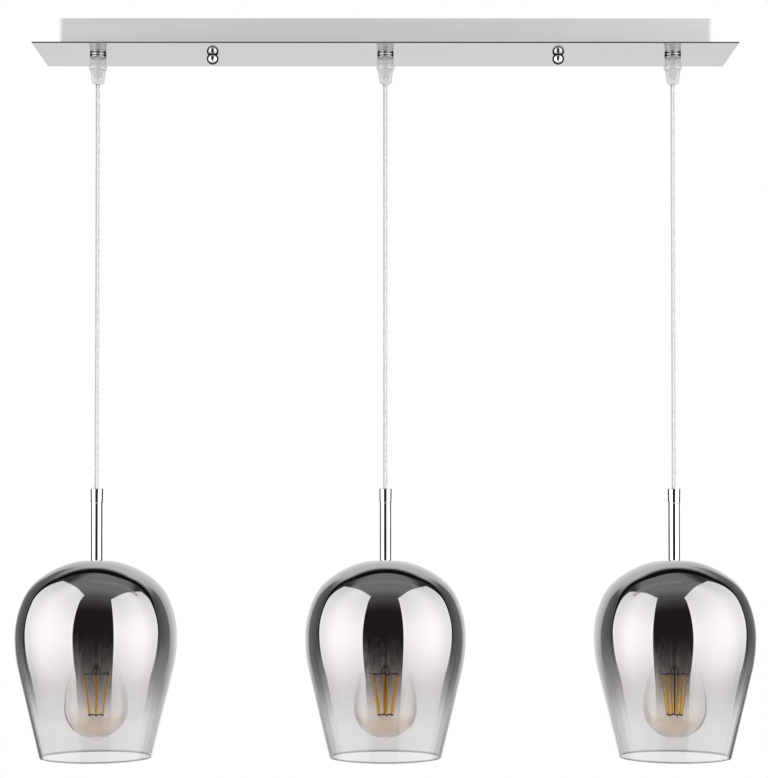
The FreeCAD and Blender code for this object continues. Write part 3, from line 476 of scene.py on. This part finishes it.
def walk(start, heading, moves, step=2.0 * MM):
    """Points (radius, height) and headings along an outline of lines and tangent arcs.

    A move is (length, turn). With no turn it goes straight. With a turn of t radians it is an arc
    whose radius is length / |t|: at share s of the arc the heading is h + s t, and the point is the
    centre plus the radius square to that heading.
    """
    points, headings = [np.array([start])], [np.array([heading])]
    place = np.array(start, float)
    for length, turn in moves:
        share = np.linspace(0, 1, max(4, math.ceil(length / step)) + 1)[1:]
        ahead = heading + share * turn
        if turn:
            radius = length / turn
            centre = place + radius * np.array([-math.sin(heading), math.cos(heading)])
            run = centre + radius * np.column_stack([np.sin(ahead), -np.cos(ahead)])
        else:
            run = place + np.outer(share * length, [math.cos(heading), math.sin(heading)])
        points.append(run)
        headings.append(ahead)
        place, heading = run[-1], ahead[-1]
    return np.vstack(points), np.concatenate(headings)


def inner_face(points, headings, wall):
    """The outline moved by the wall to the right of the walk, which is concentric on every arc."""
    return points + wall * np.column_stack([np.sin(headings), -np.cos(headings)])


def turned(outline, x, turns=SMALL_TURNS):
    """Points and faces of an outline turned about the upright axis at x.

    Point (i, j) is (x + r_i cos t_j, r_i sin t_j, z_i). The outline runs down the outside. One that
    starts and ends on the axis closes in a pole at both ends, and any other is a closed loop.
    """
    outline = np.asarray(outline, float)
    on_axis = outline[0, 0] == 0 and outline[-1, 0] == 0
    rings = outline[1:-1] if on_axis else outline
    angle = np.arange(turns) * math.tau / turns
    radius, height = rings[:, :1], rings[:, 1:]
    grid = np.stack([x + radius * np.cos(angle), radius * np.sin(angle), height + 0 * angle], axis=-1)
    points, faces = grid.reshape(-1, 3), quads(len(rings), turns, not on_axis)
    if not on_axis:
        return points, faces
    first, last = len(points), len(points) + 1
    points = np.vstack([points, [x, 0, outline[0, 1]], [x, 0, outline[-1, 1]]])
    j = np.arange(turns)
    k = (j + 1) % turns
    below = (len(rings) - 1) * turns
    top = np.column_stack([np.full(turns, first), j, k])
    end = np.column_stack([np.full(turns, last), below + k, below + j])
    return points, faces + top.tolist() + end.tolist()


def quads(rows, turns, loop):
    """Faces of a grid that closes round its axis, and also from its last row to its first in a loop."""
    i = np.arange(rows if loop else rows - 1)[:, None]
    j = np.arange(turns)[None, :]
    near, far = i * turns, ((i + 1) % rows) * turns
    right = (j + 1) % turns
    return np.stack([near + j, far + j, far + right, near + right], axis=-1).reshape(-1, 4).tolist()


def placed(name, data):
    """A new object in the scene, at the origin."""
    made = bpy.data.objects.new(name, data)
    bpy.context.scene.collection.objects.link(made)
    return made


def piece(name, parts, body, finish, replaces=(), materials_of=None, mirrored=False):
    """One smooth object from several (points, faces), in place, riding on a body.

    Only the pieces that are mirrored show in other pieces, as each pendant was lit on its own. Where
    there are several finishes, materials_of gives each face the number of its own.
    """
    points, faces = [], []
    for own, joined in parts:
        start = sum(len(p) for p in points)
        points.append(np.asarray(own))
        faces += [[start + v for v in face] for face in joined]
    mesh = bpy.data.meshes.new(name)
    mesh.from_pydata(np.vstack(points).tolist(), [], faces)
    mesh.polygons.foreach_set("use_smooth", np.ones(len(faces), bool))
    made = placed(name, mesh)
    for one in finish if isinstance(finish, list) else [finish]:
        mesh.materials.append(one)
    if materials_of is not None:
        mesh.polygons.foreach_set("material_index", materials_of.astype(np.int32))
    made.visible_glossy = mirrored
    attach(made, body)
    if replaces:
        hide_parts(*replaces)
    return made


def sharpen(made, degrees=35):
    """Keeps the edges sharp where two faces meet at more than an angle."""
    mesh = made.data
    mesh.update()
    mesh.set_sharp_from_angle(angle=math.radians(degrees))


def rounded(points, radii, steps=5):
    """An outline of straight runs with its corners rounded: each becomes a short smooth curve.

    The curve at a corner c between a and b is (1-s)^2 a + 2 s (1-s) c + s^2 b, with a and b one
    radius away from the corner along its two runs.
    """
    points = np.asarray(points, float)
    share = np.linspace(0, 1, steps + 1)[:, None]
    out = []
    for i, radius in enumerate(radii):
        corner, back, ahead = points[i], points[i - 1], points[(i + 1) % len(points)]
        if radius <= 0:
            out.append(corner[None])
            continue
        a = corner + (back - corner) * radius / np.linalg.norm(back - corner)
        b = corner + (ahead - corner) * radius / np.linalg.norm(ahead - corner)
        out.append((1 - share) ** 2 * a + 2 * share * (1 - share) * corner + share ** 2 * b)
    return np.vstack(out)


def tube(centres, radius, turns, aside):
    """Points and faces of a tube of even width along a line of centres, with a flat face at each end.

    The frame is carried along the line: v_k = d_k x aside and u_k = v_k x d_k, made unit length.
    Ring k is centre_k + radius (u_k cos t + v_k sin t).
    """
    ahead = np.gradient(centres, axis=0)
    ahead /= np.linalg.norm(ahead, axis=1)[:, None]
    v = np.cross(ahead, aside)
    v /= np.linalg.norm(v, axis=1)[:, None]
    u = np.cross(v, ahead)
    angle = (np.arange(turns) * math.tau / turns)[None, :, None]
    rings = centres[:, None] + radius * (u[:, None] * np.cos(angle) + v[:, None] * np.sin(angle))
    faces = [face[::-1] for face in quads(len(centres), turns, False)]
    last = (len(centres) - 1) * turns
    return rings.reshape(-1, 3), faces + [list(range(turns))[::-1], [last + k for k in range(turns)]]


def wire(start, end, radius):
    """Points and faces of a straight round wire between two points: a tube of two rings."""
    start, end = np.array(start, float), np.array(end, float)
    along = (end - start) / np.linalg.norm(end - start)
    aside = np.cross(along, (0, 0, 1) if abs(along[2]) < 0.9 else (1, 0, 0))
    aside /= np.linalg.norm(aside)
    return tube(np.array([start, end]), radius, WIRE_TURNS, aside)


# ================================================================ canopy fittings

def cap_nuts(finish):
    """Two ball nuts with a flat top: r = R cos t, z = m + h sin t, with one height h above the middle
    m and another below it.
    """
    low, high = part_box("cap_nuts")
    radius = (high.y - low.y) / 2
    middle = low.z + radius
    turn = np.linspace(NUT_FLAT, -math.pi / 2, 40)
    rise = np.where(turn > 0, (high.z - middle) / math.sin(NUT_FLAT), radius)
    outline = np.column_stack([radius * np.cos(turn), middle + rise * np.sin(turn)])
    outline[-1, 0] = 0
    outline = np.vstack([[0, high.z], outline])
    parts = [turned(outline, x) for x in (low.x + radius, high.x - radius)]
    sharpen(piece("domed_cap_nuts", parts, "root", finish, ["cap_nuts"], mirrored=True))


def grip_rings(finish):
    """The plated rings between the plate and the clear grips, each with a groove round its middle."""
    low, high, radius = ends_and_radius("grip_rings")
    middle = (low + high) / 2
    profile = [(RING_BORE, high), (radius, high), (radius, middle + GROOVE_HALF),
               (radius - GROOVE_DEPTH, middle), (radius, middle - GROOVE_HALF), (radius, low),
               (RING_BORE, low)]
    outline = rounded(profile, [0, BEVEL, FINE_BEVEL, FINE_BEVEL, FINE_BEVEL, BEVEL, 0])
    parts = [turned(outline, axis_x(side)) for side in SIDES]
    sharpen(piece("plated_grip_rings", parts, "root", finish, ["grip_rings"], mirrored=True))


def grip_bodies(finish):
    """Clear grip bodies: threaded shank in the canopy, barrel, flange and tapered collet on the cord."""
    low, high, _ = ends_and_radius("grip_bodies")
    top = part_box("grip_rings")[0].z
    cap_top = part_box("grip_caps")[1].z
    flange_top = top - BARREL_LENGTH
    profile = [(GRIP_BORE, high), (GRIP_SHANK, high), (GRIP_SHANK, top), (GRIP_BARREL, top),
               (GRIP_BARREL, flange_top + FLANGE_STEP), (GRIP_FLANGE, flange_top),
               (GRIP_FLANGE, cap_top), (GRIP_COLLET, cap_top), (GRIP_COLLET - COLLET_TAPER, low),
               (GRIP_BORE, low)]
    outline = rounded(profile, [0, BEVEL, 0, BEVEL, 0.3 * MM, 0.5 * MM, 0.8 * MM, 0, 0.3 * MM, 0])
    parts = [turned(outline, axis_x(side)) for side in SIDES]
    sharpen(piece("clear_grip_bodies", parts, "root", finish, ["grip_bodies"],
                  mirrored=True))


def fluted_cap(x):
    """Points and faces of one tapered grip cap.

    The outline is turned as usual, and then the radius of every outer point drops by the flute depth
    times |cos(n t / 2)| to the eighth, which leaves broad lands between narrow hollows.
    """
    low, high, _ = ends_and_radius("grip_caps")
    band = high - FLUTE_STOP
    profile = [(CAP_MOUTH, high), (CAP_TOP, high), (CAP_TOP, band), (CAP_END, low), (CAP_MOUTH, low),
               (CAP_BORE, low + CAP_MOUTH_DEPTH), (CAP_BORE, high - CAP_SEAT_DEPTH)]
    smooth = rounded(profile, [0, 0.5 * MM, 0, 1.0 * MM, 0.3 * MM, 0, 0])
    level = np.linspace(band, low + FLUTE_FADE, 14)
    flank = np.column_stack([CAP_TOP + (CAP_END - CAP_TOP) * (band - level) / (band - low), level])
    at = int(np.argmax(np.isclose(smooth[:, 1], band)))
    outline = np.vstack([smooth[:at], flank, smooth[at + 1:]])
    points, faces = turned(outline, 0.0, CAP_TURNS)
    radius = np.hypot(points[:, 0], points[:, 1])
    angle = np.arctan2(points[:, 1], points[:, 0])
    depth = np.clip((band - points[:, 2]) / FLUTE_FADE, 0, 1) * (radius > CAP_MOUTH + CAP_SKIN)
    hollow = FLUTE_DEPTH * depth * np.abs(np.cos(angle * GRIP_FLUTES / 2)) ** 8
    points[:, :2] *= ((radius - hollow) / radius)[:, None]
    points[:, 0] += x
    return points, faces


def grip_caps(finish):
    """Three fluted clear caps."""
    parts = [fluted_cap(axis_x(side)) for side in SIDES]
    made = piece("fluted_grip_caps", parts, "root", finish, ["grip_caps"], mirrored=True)
    sharpen(made, 50)


# ================================================================ cords

def cord_line(side):
    """Points along one free cord, read from a smooth open curve through its route.

    The route is straight, because the cord carries the pendant.
    """
    low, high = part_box(side + "_cord")
    route = [(axis_x(side), 0, height) for height in (high.z, *CORD_ROUTE, low.z)]
    data = bpy.data.curves.new(side + "_route", "CURVE")
    data.dimensions = "3D"
    line = data.splines.new("NURBS")
    line.points.add(len(route) - 1)
    line.points.foreach_set("co", np.column_stack([route, np.ones(len(route))]).ravel())
    line.order_u = 3
    line.use_endpoint_u = True
    line.resolution_u = 60
    made = placed(side + "_route", data)
    bpy.context.view_layer.update()
    evaluated = made.evaluated_get(bpy.context.evaluated_depsgraph_get())
    mesh = bpy.data.meshes.new_from_object(evaluated)
    points = np.empty(len(mesh.vertices) * 3)
    mesh.vertices.foreach_get("co", points)
    bpy.data.objects.remove(made)
    bpy.data.meshes.remove(mesh)
    return points.reshape(-1, 3)


def cord(side, sheath, steel, tinned):
    """A clear cord: sheath, a straight steel wire on the left and two tinned cores wound on the right.

    A core's centre is (x + shift + w cos a, w sin a, z), with a turning once in each pitch of height.
    """
    line = cord_line(side)
    top, body, aside = line[0], side + "_hanging_cord", (0, 1, 0)
    outer = piece(side + "_cord_sheath", [tube(line, CORD_RADIUS, SHEATH_TURNS, aside)], body,
                  sheath, [side + "_cord"])
    offset = np.array([STEEL_WIRE_SHIFT, 0, 0])
    inner = piece(side + "_steel_wire", [tube(line + offset, STEEL_WIRE_RADIUS, 12, aside)], body,
                  steel)
    fine = np.interp(np.linspace(0, 1, CORE_STEPS), np.linspace(0, 1, len(line)), line[:, 2])
    turn = (fine - top[2]) * math.tau / CORE_PITCH
    cores = []
    for start in (0, math.pi):
        wound = np.column_stack([top[0] + CORE_SHIFT + CORE_TWIST * np.cos(turn + start),
                                 CORE_TWIST * np.sin(turn + start), fine])
        cores.append(tube(wound, CORE_RADIUS, WIRE_TURNS, aside))
    wires = piece(side + "_tinned_cores", cores, body, tinned)
    for made in (outer, inner, wires):
        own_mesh(made)


# ================================================================ rods

def rod(side, finish):
    """The collar, the rod with its rounded foot and the washer in the dimple of the glass."""
    x, body = axis_x(side), side + "_pendant"
    low, high, radius = ends_and_radius(side + "_rod_collar")
    seam = low - SEAM
    collar = rounded([(COLLAR_BORE, high), (radius, high), (radius - COLLAR_TAPER, low),
                      (COLLAR_BORE, low)], [0, *COLLAR_ROUND, 0])
    sharpen(piece(side + "_collar", [turned(collar, x)], body, finish, [side + "_rod_collar"]))
    low, _, radius = ends_and_radius(side + "_stem_tube")
    stem = rounded([(STEM_BORE, seam), (radius, seam), (radius, low), (STEM_BORE, low)],
                   [0, *STEM_ROUND, 0], 10)
    sharpen(piece(side + "_rod", [turned(stem, x)], body, finish, [side + "_stem_tube"]))
    low, high, radius = ends_and_radius(side + "_seat_washer")
    disc = rounded([(STEM_BORE, high), (radius, high), (radius, low), (STEM_BORE, low)],
                   [0, BEVEL, FINE_BEVEL, 0])
    sharpen(piece(side + "_washer", [turned(disc, x)], body, finish, [side + "_seat_washer"]))


# ================================================================ glass

def bell_moves(height):
    """The walk along the outside of the bell: seat, dimple, crest, crown, dome, shoulder, side, belly
    and the straight flank down to the rim.

    The shoulder's radius is what makes the arcs reach the bell's widest radius.
    """
    tilt = 2 * math.atan(DIMPLE_DEPTH / DIMPLE_WIDTH)
    roll = DIMPLE_WIDTH / (2 * math.sin(tilt))
    crest = GLASS_SEAT + DIMPLE_WIDTH
    low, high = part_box("centre_glass_shade")
    widest = (high.x - low.x) / 2
    arcs = [(CREST_ARC, 0.0, CREST_SLOPE), (CROWN_ARC, CREST_SLOPE, CROWN_SLOPE),
            (DOME_ARC, CROWN_SLOPE, DOME_SLOPE), (SIDE_ARC, SHOULDER_END, math.pi / 2)]
    out = sum(r * (math.sin(b) - math.sin(a)) for r, a, b in arcs)
    shoulder = (widest - crest - out) / (math.sin(SHOULDER_END) - math.sin(DOME_SLOPE))
    arcs.insert(3, (shoulder, DOME_SLOPE, SHOULDER_END))
    down = sum(r * (math.cos(a) - math.cos(b)) for r, a, b in arcs)
    across = RIM_RADIUS - widest + BELLY_ARC
    below = height - down
    reach = math.hypot(across, below)
    taper = math.atan2(below, across) - math.acos(BELLY_ARC / reach)
    return [(GLASS_SEAT - GLASS_HOLE, 0), (roll * tilt, tilt), (roll * tilt, -tilt),
            *((radius * (b - a), a - b) for radius, a, b in arcs),
            (BELLY_ARC * taper, -taper), (math.sqrt(reach ** 2 - BELLY_ARC ** 2), 0)]


def bell(side, coated, clear):
    """The blown bell: even wall, dimpled seat, fire-rounded rim. Its outer face is coated.

    The rim is half a circle across the wall: m + h cos t + a (wall / 2) sin t.
    """
    rim_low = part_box(side + "_glass_shade")[0].z
    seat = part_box(side + "_shade_gaskets")[0].z + GASKET_THICK + GLASS_WALL
    height = seat + DIMPLE_DEPTH - rim_low - GLASS_WALL / 2
    outside, headings = walk((GLASS_HOLE, seat), 0.0, bell_moves(height))
    inside = inner_face(outside, headings, GLASS_WALL)
    ahead = np.array([math.cos(headings[-1]), math.sin(headings[-1])])
    turn = np.linspace(0, math.pi, 13)[1:-1, None]
    middle, half = (outside[-1] + inside[-1]) / 2, (outside[-1] - inside[-1]) / 2
    rim = middle + half * np.cos(turn) + ahead * (GLASS_WALL / 2) * np.sin(turn)
    outline = np.vstack([outside, rim, inside[::-1]])
    points, faces = turned(outline, axis_x(side), TURNS)
    row = np.arange(len(faces)) // TURNS
    inner = (row >= len(outside) - 1).astype(int)
    piece(side + "_bell", [(points, faces)], side + "_pendant", [coated, clear],
          [side + "_glass_shade"], inner)


def bulb(side, clear):
    """The clear envelope: neck, long hollow shoulder, round end and the small sealed tip.

    The tip is a quarter of an ellipse: (r cos t, z - d sin t).
    """
    low, high, radius = ends_and_radius(side + "_bulb_glass")
    out = radius - BULB_NECK_RADIUS
    down = high - BULB_NECK_LINE - (low + BULB_TIP + radius)
    bend = 2 * math.atan(out / down)
    both = down / math.sin(bend)
    tip = math.asin(BULB_TIP_RADIUS / radius)
    moves = [(BULB_NECK_LINE, 0), (both * NECK_SHARE * bend, bend),
             (both * (1 - NECK_SHARE) * bend, -bend), (radius * (math.pi / 2 - tip), tip - math.pi / 2)]
    outside, headings = walk((BULB_NECK_RADIUS, high), -math.pi / 2, moves)
    inside = inner_face(outside, headings, BULB_WALL)
    turn = np.linspace(0, math.pi / 2, 13)[1:]
    drop = outside[-1, 1] - low
    pip = np.column_stack([outside[-1, 0] * np.cos(turn), outside[-1, 1] - drop * np.sin(turn)])
    pip[-1, 0] = 0
    outline = np.vstack([[0, inside[-1, 1]], inside[::-1], outside, pip])
    piece(side + "_bulb_envelope", [turned(outline, axis_x(side), BULB_TURNS)], side + "_bulb",
          clear, [side + "_bulb_glass"])


def stick(x, turn, top, end):
    """Points and faces of one filament stick between two stars of wire.

    The section is a rounded bar, |u|^3 + |v|^3 = 1 over half the width and thickness, and it shrinks
    to a round end by the root of 1 - s^2 over 3 per cent of the length.
    """
    length = top - end
    along = np.concatenate([np.linspace(0, 0.03, 4), np.linspace(0.06, 0.94, 12),
                            np.linspace(0.97, 1, 4)])
    taper = np.clip(np.minimum(along, 1 - along) / 0.03, 0.02, 1)
    size = np.sqrt(1 - (1 - taper) ** 2)
    angle = np.arange(STICK_TURNS) * math.tau / STICK_TURNS
    u = np.sign(np.cos(angle)) * np.abs(np.cos(angle)) ** (2 / 3) * STICK_THICK / 2
    v = np.sign(np.sin(angle)) * np.abs(np.sin(angle)) ** (2 / 3) * STICK_WIDTH / 2
    gap = (WIRE_RADIUS + STICK_GAP) / length
    share = gap + along * (1 - 2 * gap)
    radius = STAR_TOP_RADIUS + (STAR_END_RADIUS - STAR_TOP_RADIUS) * share
    r = radius[:, None] + size[:, None] * u
    t = size[:, None] * v
    c, s = math.cos(turn), math.sin(turn)
    z = (top - length * share)[:, None] + 0 * t
    points = np.stack([x + r * c - t * s, r * s + t * c, z], axis=-1).reshape(-1, 3)
    last = (len(along) - 1) * STICK_TURNS
    ends = [list(range(STICK_TURNS)), [last + k for k in range(STICK_TURNS)][::-1]]
    return points, quads(len(along), STICK_TURNS, False) + ends


def filaments(side, amber, nickel):
    """Six amber sticks between two stars of nickel wire, on a mast with a bead and two leads."""
    low, high, _ = ends_and_radius(side + "_bulb_filaments")
    x, body = axis_x(side), side + "_bulb"
    end, top = low + WIRE_RADIUS, high - STAR_DROP
    turns = [STICK_START + i * math.tau / STICKS for i in range(STICKS)]
    sticks = piece(side + "_filament_sticks", [stick(x, t, top, end) for t in turns], body,
                   amber, [side + "_bulb_filaments"])
    bead = np.linspace(math.pi / 2, -math.pi / 2, 17)
    bead = np.column_stack([BEAD_RADIUS * np.cos(bead), top + BEAD_HEIGHT + BEAD_RADIUS * np.sin(bead)])
    bead[[0, -1], 0] = 0
    parts = [wire((x, 0, high), (x, 0, end), MAST_RADIUS), turned(bead, x, 24)]
    for lead in (-LEAD_SPREAD, LEAD_SPREAD):
        parts.append(wire((x + lead * LEAD_SHARE, 0, high + LEAD_RISE), (x + lead, 0, top), WIRE_RADIUS))
    for height, radius in ((top, STAR_TOP_RADIUS), (end, STAR_END_RADIUS)):
        for t in turns:
            tip = np.array([x + radius * math.cos(t), radius * math.sin(t), height])
            half = (0, 0, STICK_TIP_HALF)
            parts.append(wire((x, 0, height), tip, WIRE_RADIUS))
            parts.append(wire(tip + half, tip - half, STICK_TIP))
    wires = piece(side + "_support_wires", parts, body, nickel)
    sharpen(sticks, 60)
    sharpen(wires)


# ================================================================ build

nylon, sheath = clear_nylon(), clear_sheath()
metal, satin = chrome("bright_chrome", 0.015), chrome("satin_chrome", 0.3)
nut = chrome("cap_nut_chrome", 0.06, 0.16)
zinc_plate, glass_mount = zinc(), bulb_clear()
black = moulded("black_thermoplastic", (0.012, 0.012, 0.012), (0.03, 0.03, 0.03), 0.42)
ceramic = moulded("glazed_ceramic", (0.84, 0.83, 0.80), (0.92, 0.91, 0.88), 0.15, 0.00001, 1.6)
silicone = moulded("clear_silicone", (0.74, 0.74, 0.74), (0.84, 0.84, 0.84), 0.5, 0.00001)
steel = stranded_wire("bright_steel_strand", (0.40, 0.39, 0.40), (0.60, 0.58, 0.60), 1.6 * MM)
tinned = stranded_wire("tinned_copper_strand", (0.50, 0.49, 0.50), (0.76, 0.74, 0.76), 1.2 * MM)
coated, clear = bell_glass("metallised_smoke_glass", True), bell_glass("clear_smoke_glass", False)
amber = phosphor()
nickel = plain_metal("nickel_wire", (0.03, 0.027, 0.025), (0.09, 0.08, 0.075), 0.3, 900)
FINISHES = {
    "canopy_box": brushed_steel(), "canopy_plate": polished_plate(),
    "ceiling_bracket": zinc_plate, "bracket_studs": zinc_plate, "fixing_screws": zinc_plate,
    "grip_locknuts": zinc_plate, "threaded_nipple": zinc_plate,
    "terminal_block": moulded("white_nylon", (0.80, 0.80, 0.78), (0.90, 0.90, 0.88), 0.4),
    "live_leads": moulded("brown_insulation", (0.20, 0.09, 0.04), (0.28, 0.13, 0.07), 0.4),
    "neutral_leads": moulded("blue_insulation", (0.06, 0.19, 0.52), (0.10, 0.27, 0.66), 0.4),
    "earth_lead": earth_insulation(),
    "cord_tails": sheath, "cord_neck": sheath, "shade_gaskets": silicone,
    "lampholder_cap": black, "lampholder_body": black, "socket_insert": ceramic,
    "bulb_cap": plain_metal("nickelled_brass", (0.62, 0.60, 0.55), (0.78, 0.76, 0.71), 0.2, 400),
    "bulb_stem": glass_mount,
}


def kind_of(node):
    """The name of a node without the pendant that it belongs to."""
    return next((node[len(side) + 1:] for side in SIDES if node.startswith(side + "_")), node)


def dress(node, finish):
    """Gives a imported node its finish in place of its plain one. A pendant's nodes aren't mirrored."""
    slots = nodes[node].data.materials
    slots.clear()
    slots.append(finish)
    nodes[node].visible_glossy = kind_of(node) == node


for node in nodes:
    if kind_of(node) in FINISHES:
        dress(node, FINISHES[kind_of(node)])

cap_nuts(nut)
grip_rings(satin)
grip_bodies(nylon)
grip_caps(nylon)
for side in SIDES:
    cord(side, sheath, steel, tinned)
    rod(side, metal)
    bell(side, coated, clear)
    bulb(side, glass_mount)
    filaments(side, amber, nickel)

# ================================================================ camera, studio and floor

CAMERA_PLACE = (-0.0031, -1.8901, -0.5266)
CAMERA_TILT = math.radians(1.125)
CAMERA_PAN = math.radians(0.049)
LENS = 86.77
SENSOR = 36.0
SHIFT_UP = 0.155
FLOOR_HEIGHT = -1.4
FLOOR_HALF = 4.0
LAMP_POWER = 9.0
LAMP_SIZE = 1.6
LAMP_ASIDE = 1.3
LAMP_FRONT = 1.2
LAMP_HEIGHT = 0.7
LAMP_TURN = math.radians(45)
MATT_LIGHT = 0.8                 # the surround's level for matt surfaces

# ---- the studio that mirror surfaces see: azimuth from the front and elevation from level, in degrees
SHELL_RADIUS = 1.95
SHELL_HEIGHT = -0.6
BOX_STARTS = (32.0, 25.0)        # azimuth of the near edge of the left and the right soft box
BOX_END = 106.5                  # of the far edge of both at level, which leans out with elevation
BOX_LEAN = 0.18
BOX_TOP = 61.0                   # elevation of the top edge, which bows down to both sides
BOX_BOW = 7.0
BOX_MIDDLE = 70.0
BOX_HALF = 36.0
BOX_SOFT = 0.7                   # half the width of the boxes' side edges
BOX_TOP_SOFT = 0.8
BOX_LIGHT = 2.25
LEAST_LIGHT = 0.012
GROUND_LIGHT = 0.75


def make_camera():
    """The photograph's view: level with the feet of the rods, tilted a little up, frame raised."""
    data = bpy.data.cameras.new("camera")
    data.lens = LENS
    data.sensor_width = SENSOR
    data.shift_y = SHIFT_UP
    made = placed("camera", data)
    made.location = CAMERA_PLACE
    made.rotation_euler = (math.pi / 2 + CAMERA_TILT, 0, -CAMERA_PAN)
    bpy.context.scene.camera = made


def make_floor():
    """A plain pale floor under the light. Mirror surfaces see the studio instead of it."""
    mesh = bpy.data.meshes.new("floor")
    edge = FLOOR_HALF
    mesh.from_pydata([(-edge, -edge, FLOOR_HEIGHT), (edge, -edge, FLOOR_HEIGHT),
                      (edge, edge, FLOOR_HEIGHT), (-edge, edge, FLOOR_HEIGHT)], [], [(0, 1, 2, 3)])
    mesh.materials.append(floor_paint())
    made = placed("floor", mesh)
    made.visible_glossy = False


def make_lamps():
    """Two soft lamps, in front and above to the left and right. Mirror surfaces don't see them."""
    for name, x in (("lamp_left", -LAMP_ASIDE), ("lamp_right", LAMP_ASIDE)):
        data = bpy.data.lights.new(name, "AREA")
        data.shape = "DISK"
        data.size = LAMP_SIZE
        data.energy = LAMP_POWER
        made = placed(name, data)
        made.location = (x, -LAMP_FRONT, LAMP_HEIGHT)
        made.rotation_euler = (LAMP_TURN, 0, math.copysign(LAMP_TURN, x))
        made.visible_glossy = False
        made.visible_camera = False


def make_world():
    """A white surround. It lights matt surfaces at a plain level."""
    world = bpy.data.worlds.new("surround")
    bpy.context.scene.world = world
    world.use_nodes = True
    g = Graph(world.node_tree, "ShaderNodeOutputWorld")
    path = g.node("ShaderNodeLightPath").socket.node
    camera, mirror, glass = (Value(g, path.outputs[name])
                             for name in ("Is Camera Ray", "Is Glossy Ray", "Is Transmission Ray"))
    seen = g.calc("MAXIMUM", g.calc("MAXIMUM", camera, mirror), glass)
    strength = MATT_LIGHT + seen * (1.0 - MATT_LIGHT)
    g.finish(g.node("ShaderNodeBackground", None, {"Color": (1.0, 1.0, 1.0), "Strength": strength}))


def studio_light():
    """What mirror surfaces see round the light: a tall soft box on each side, dark between them in
    front, white behind with a darker wing at each side, and a grey ceiling that fades to the front.
    """
    made, g = material("studio_shell")
    there = g.node("ShaderNodeTexCoord", out="Object")
    centre = (0, 0, SHELL_HEIGHT)
    ray = g.node("ShaderNodeVectorMath", {"operation": "SUBTRACT"}, {0: there, 1: centre})
    x, y, z = g.xyz(g.node("ShaderNodeVectorMath", {"operation": "NORMALIZE"}, {0: ray}))
    degrees = 180 / math.pi
    azimuth = g.calc("ARCTAN2", g.calc("ABSOLUTE", x), y * -1.0) * degrees
    elevation = g.calc("ARCSINE", z) * degrees
    over = g.calc("ARCTAN2", g.calc("MAXIMUM", z, 0.0), y) * degrees
    square = z * z

    # the soft boxes: their outline, then their light with brighter edges, a dim part and a fall upwards
    inner = x.step(-0.01, 0.01, *BOX_STARTS)
    outer = BOX_END + elevation * BOX_LEAN
    bow = (azimuth - BOX_MIDDLE) / BOX_HALF
    top = BOX_TOP - bow * bow * BOX_BOW
    box = (azimuth - inner).step(-BOX_SOFT, BOX_SOFT)
    box = box * (azimuth - outer).step(-BOX_SOFT, BOX_SOFT, 1.0, 0.0)
    box = box * (elevation - top).step(-BOX_TOP_SOFT, BOX_TOP_SOFT, 1.0, 0.0)
    rim = (azimuth - inner).step(0.0, 3.5, 0.25, 0.0) + (azimuth - outer).step(-3.0, 0.0, 0.0, 0.25)
    glow = BOX_LIGHT - azimuth.step(30.0, 70.0, 0.22, 0.0) - azimuth.step(72.0, 104.0, 0.0, 0.45) + rim
    glow = glow * elevation.step(5.0, 54.0, 1.0, 0.78)

    # the front: the ceiling, dimmed beside the boxes
    ceiling = over.step(104.0, 128.0, 0.33, 0.15) * over.step(124.0, 150.0, 1.0, 0.2)
    flank = 1.0 - azimuth.step(98.0, 110.0, 0.0, 0.75) * elevation.step(55.0, 66.0, 1.0, 0.0)
    front = ceiling * flank

    # the back, by its depth: a darker wing and then white, low down, and a soft start higher up
    wing_start, wing_end = 0.345 + square * 0.30, 0.766 - square * 0.29
    wing = (y - wing_start).step(0.0, 0.42, 0.15, 0.26)
    white = 0.74 + (y - wing_end).step(0.0, 0.2, 0.0, 0.26)
    low_back = wing + (y - wing_end).step(0.0, 0.03) * (white - wing)
    high_back = (y - wing_start).step(-0.02, 0.15, 0.03, 0.95)
    back = low_back + square.step(0.25, 0.55) * (high_back - low_back)
    behind = (y - wing_start).step(-0.012, 0.012)

    # all of it, with a dark line before the wings and a plain ground, and warm where it is dimmest
    line = (y - (0.31 + square * 0.14)).step(-0.01, 0.01) * (1.0 - behind) * 0.95
    seen = (front * (1.0 - box) + glow * box) * (1.0 - line) * (1.0 - behind) + back * behind
    ground = z.step(-0.62, -0.55, 1.0, 0.0)
    seen = seen * (1.0 - ground) + ground * GROUND_LIGHT
    seen = g.calc("MAXIMUM", seen, LEAST_LIGHT)
    dim = (seen - 0.02).step(0.0, 0.12, 1.0, 0.0)
    tint = g.blend(dim, (1.0, 1.0, 1.0), (1.0, 0.82, 0.79))
    g.finish(g.node("ShaderNodeEmission", None, {"Color": tint, "Strength": seen}))
    made.cycles.emission_sampling = "NONE"
    return made


def make_studio():
    """A ball round the light that only mirror surfaces see.

    Point (i, j) is R (sin a_i cos t_j, sin a_i sin t_j, cos a_i) from a middle among the glasses.
    """
    fall = np.linspace(0, math.pi, 49)
    outline = np.column_stack([SHELL_RADIUS * np.sin(fall), SHELL_HEIGHT + SHELL_RADIUS * np.cos(fall)])
    outline[[0, -1], 0] = 0
    points, faces = turned(outline, 0.0)
    mesh = bpy.data.meshes.new("studio_shell")
    mesh.from_pydata(points.tolist(), [], faces)
    mesh.materials.append(studio_light())
    made = placed("studio_shell", mesh)
    for ray in ("camera", "diffuse", "transmission", "volume_scatter", "shadow"):
        setattr(made, "visible_" + ray, False)


make_camera()
make_floor()
make_lamps()
make_world()
make_studio()
bpy.context.scene.view_settings.view_transform = "Standard"
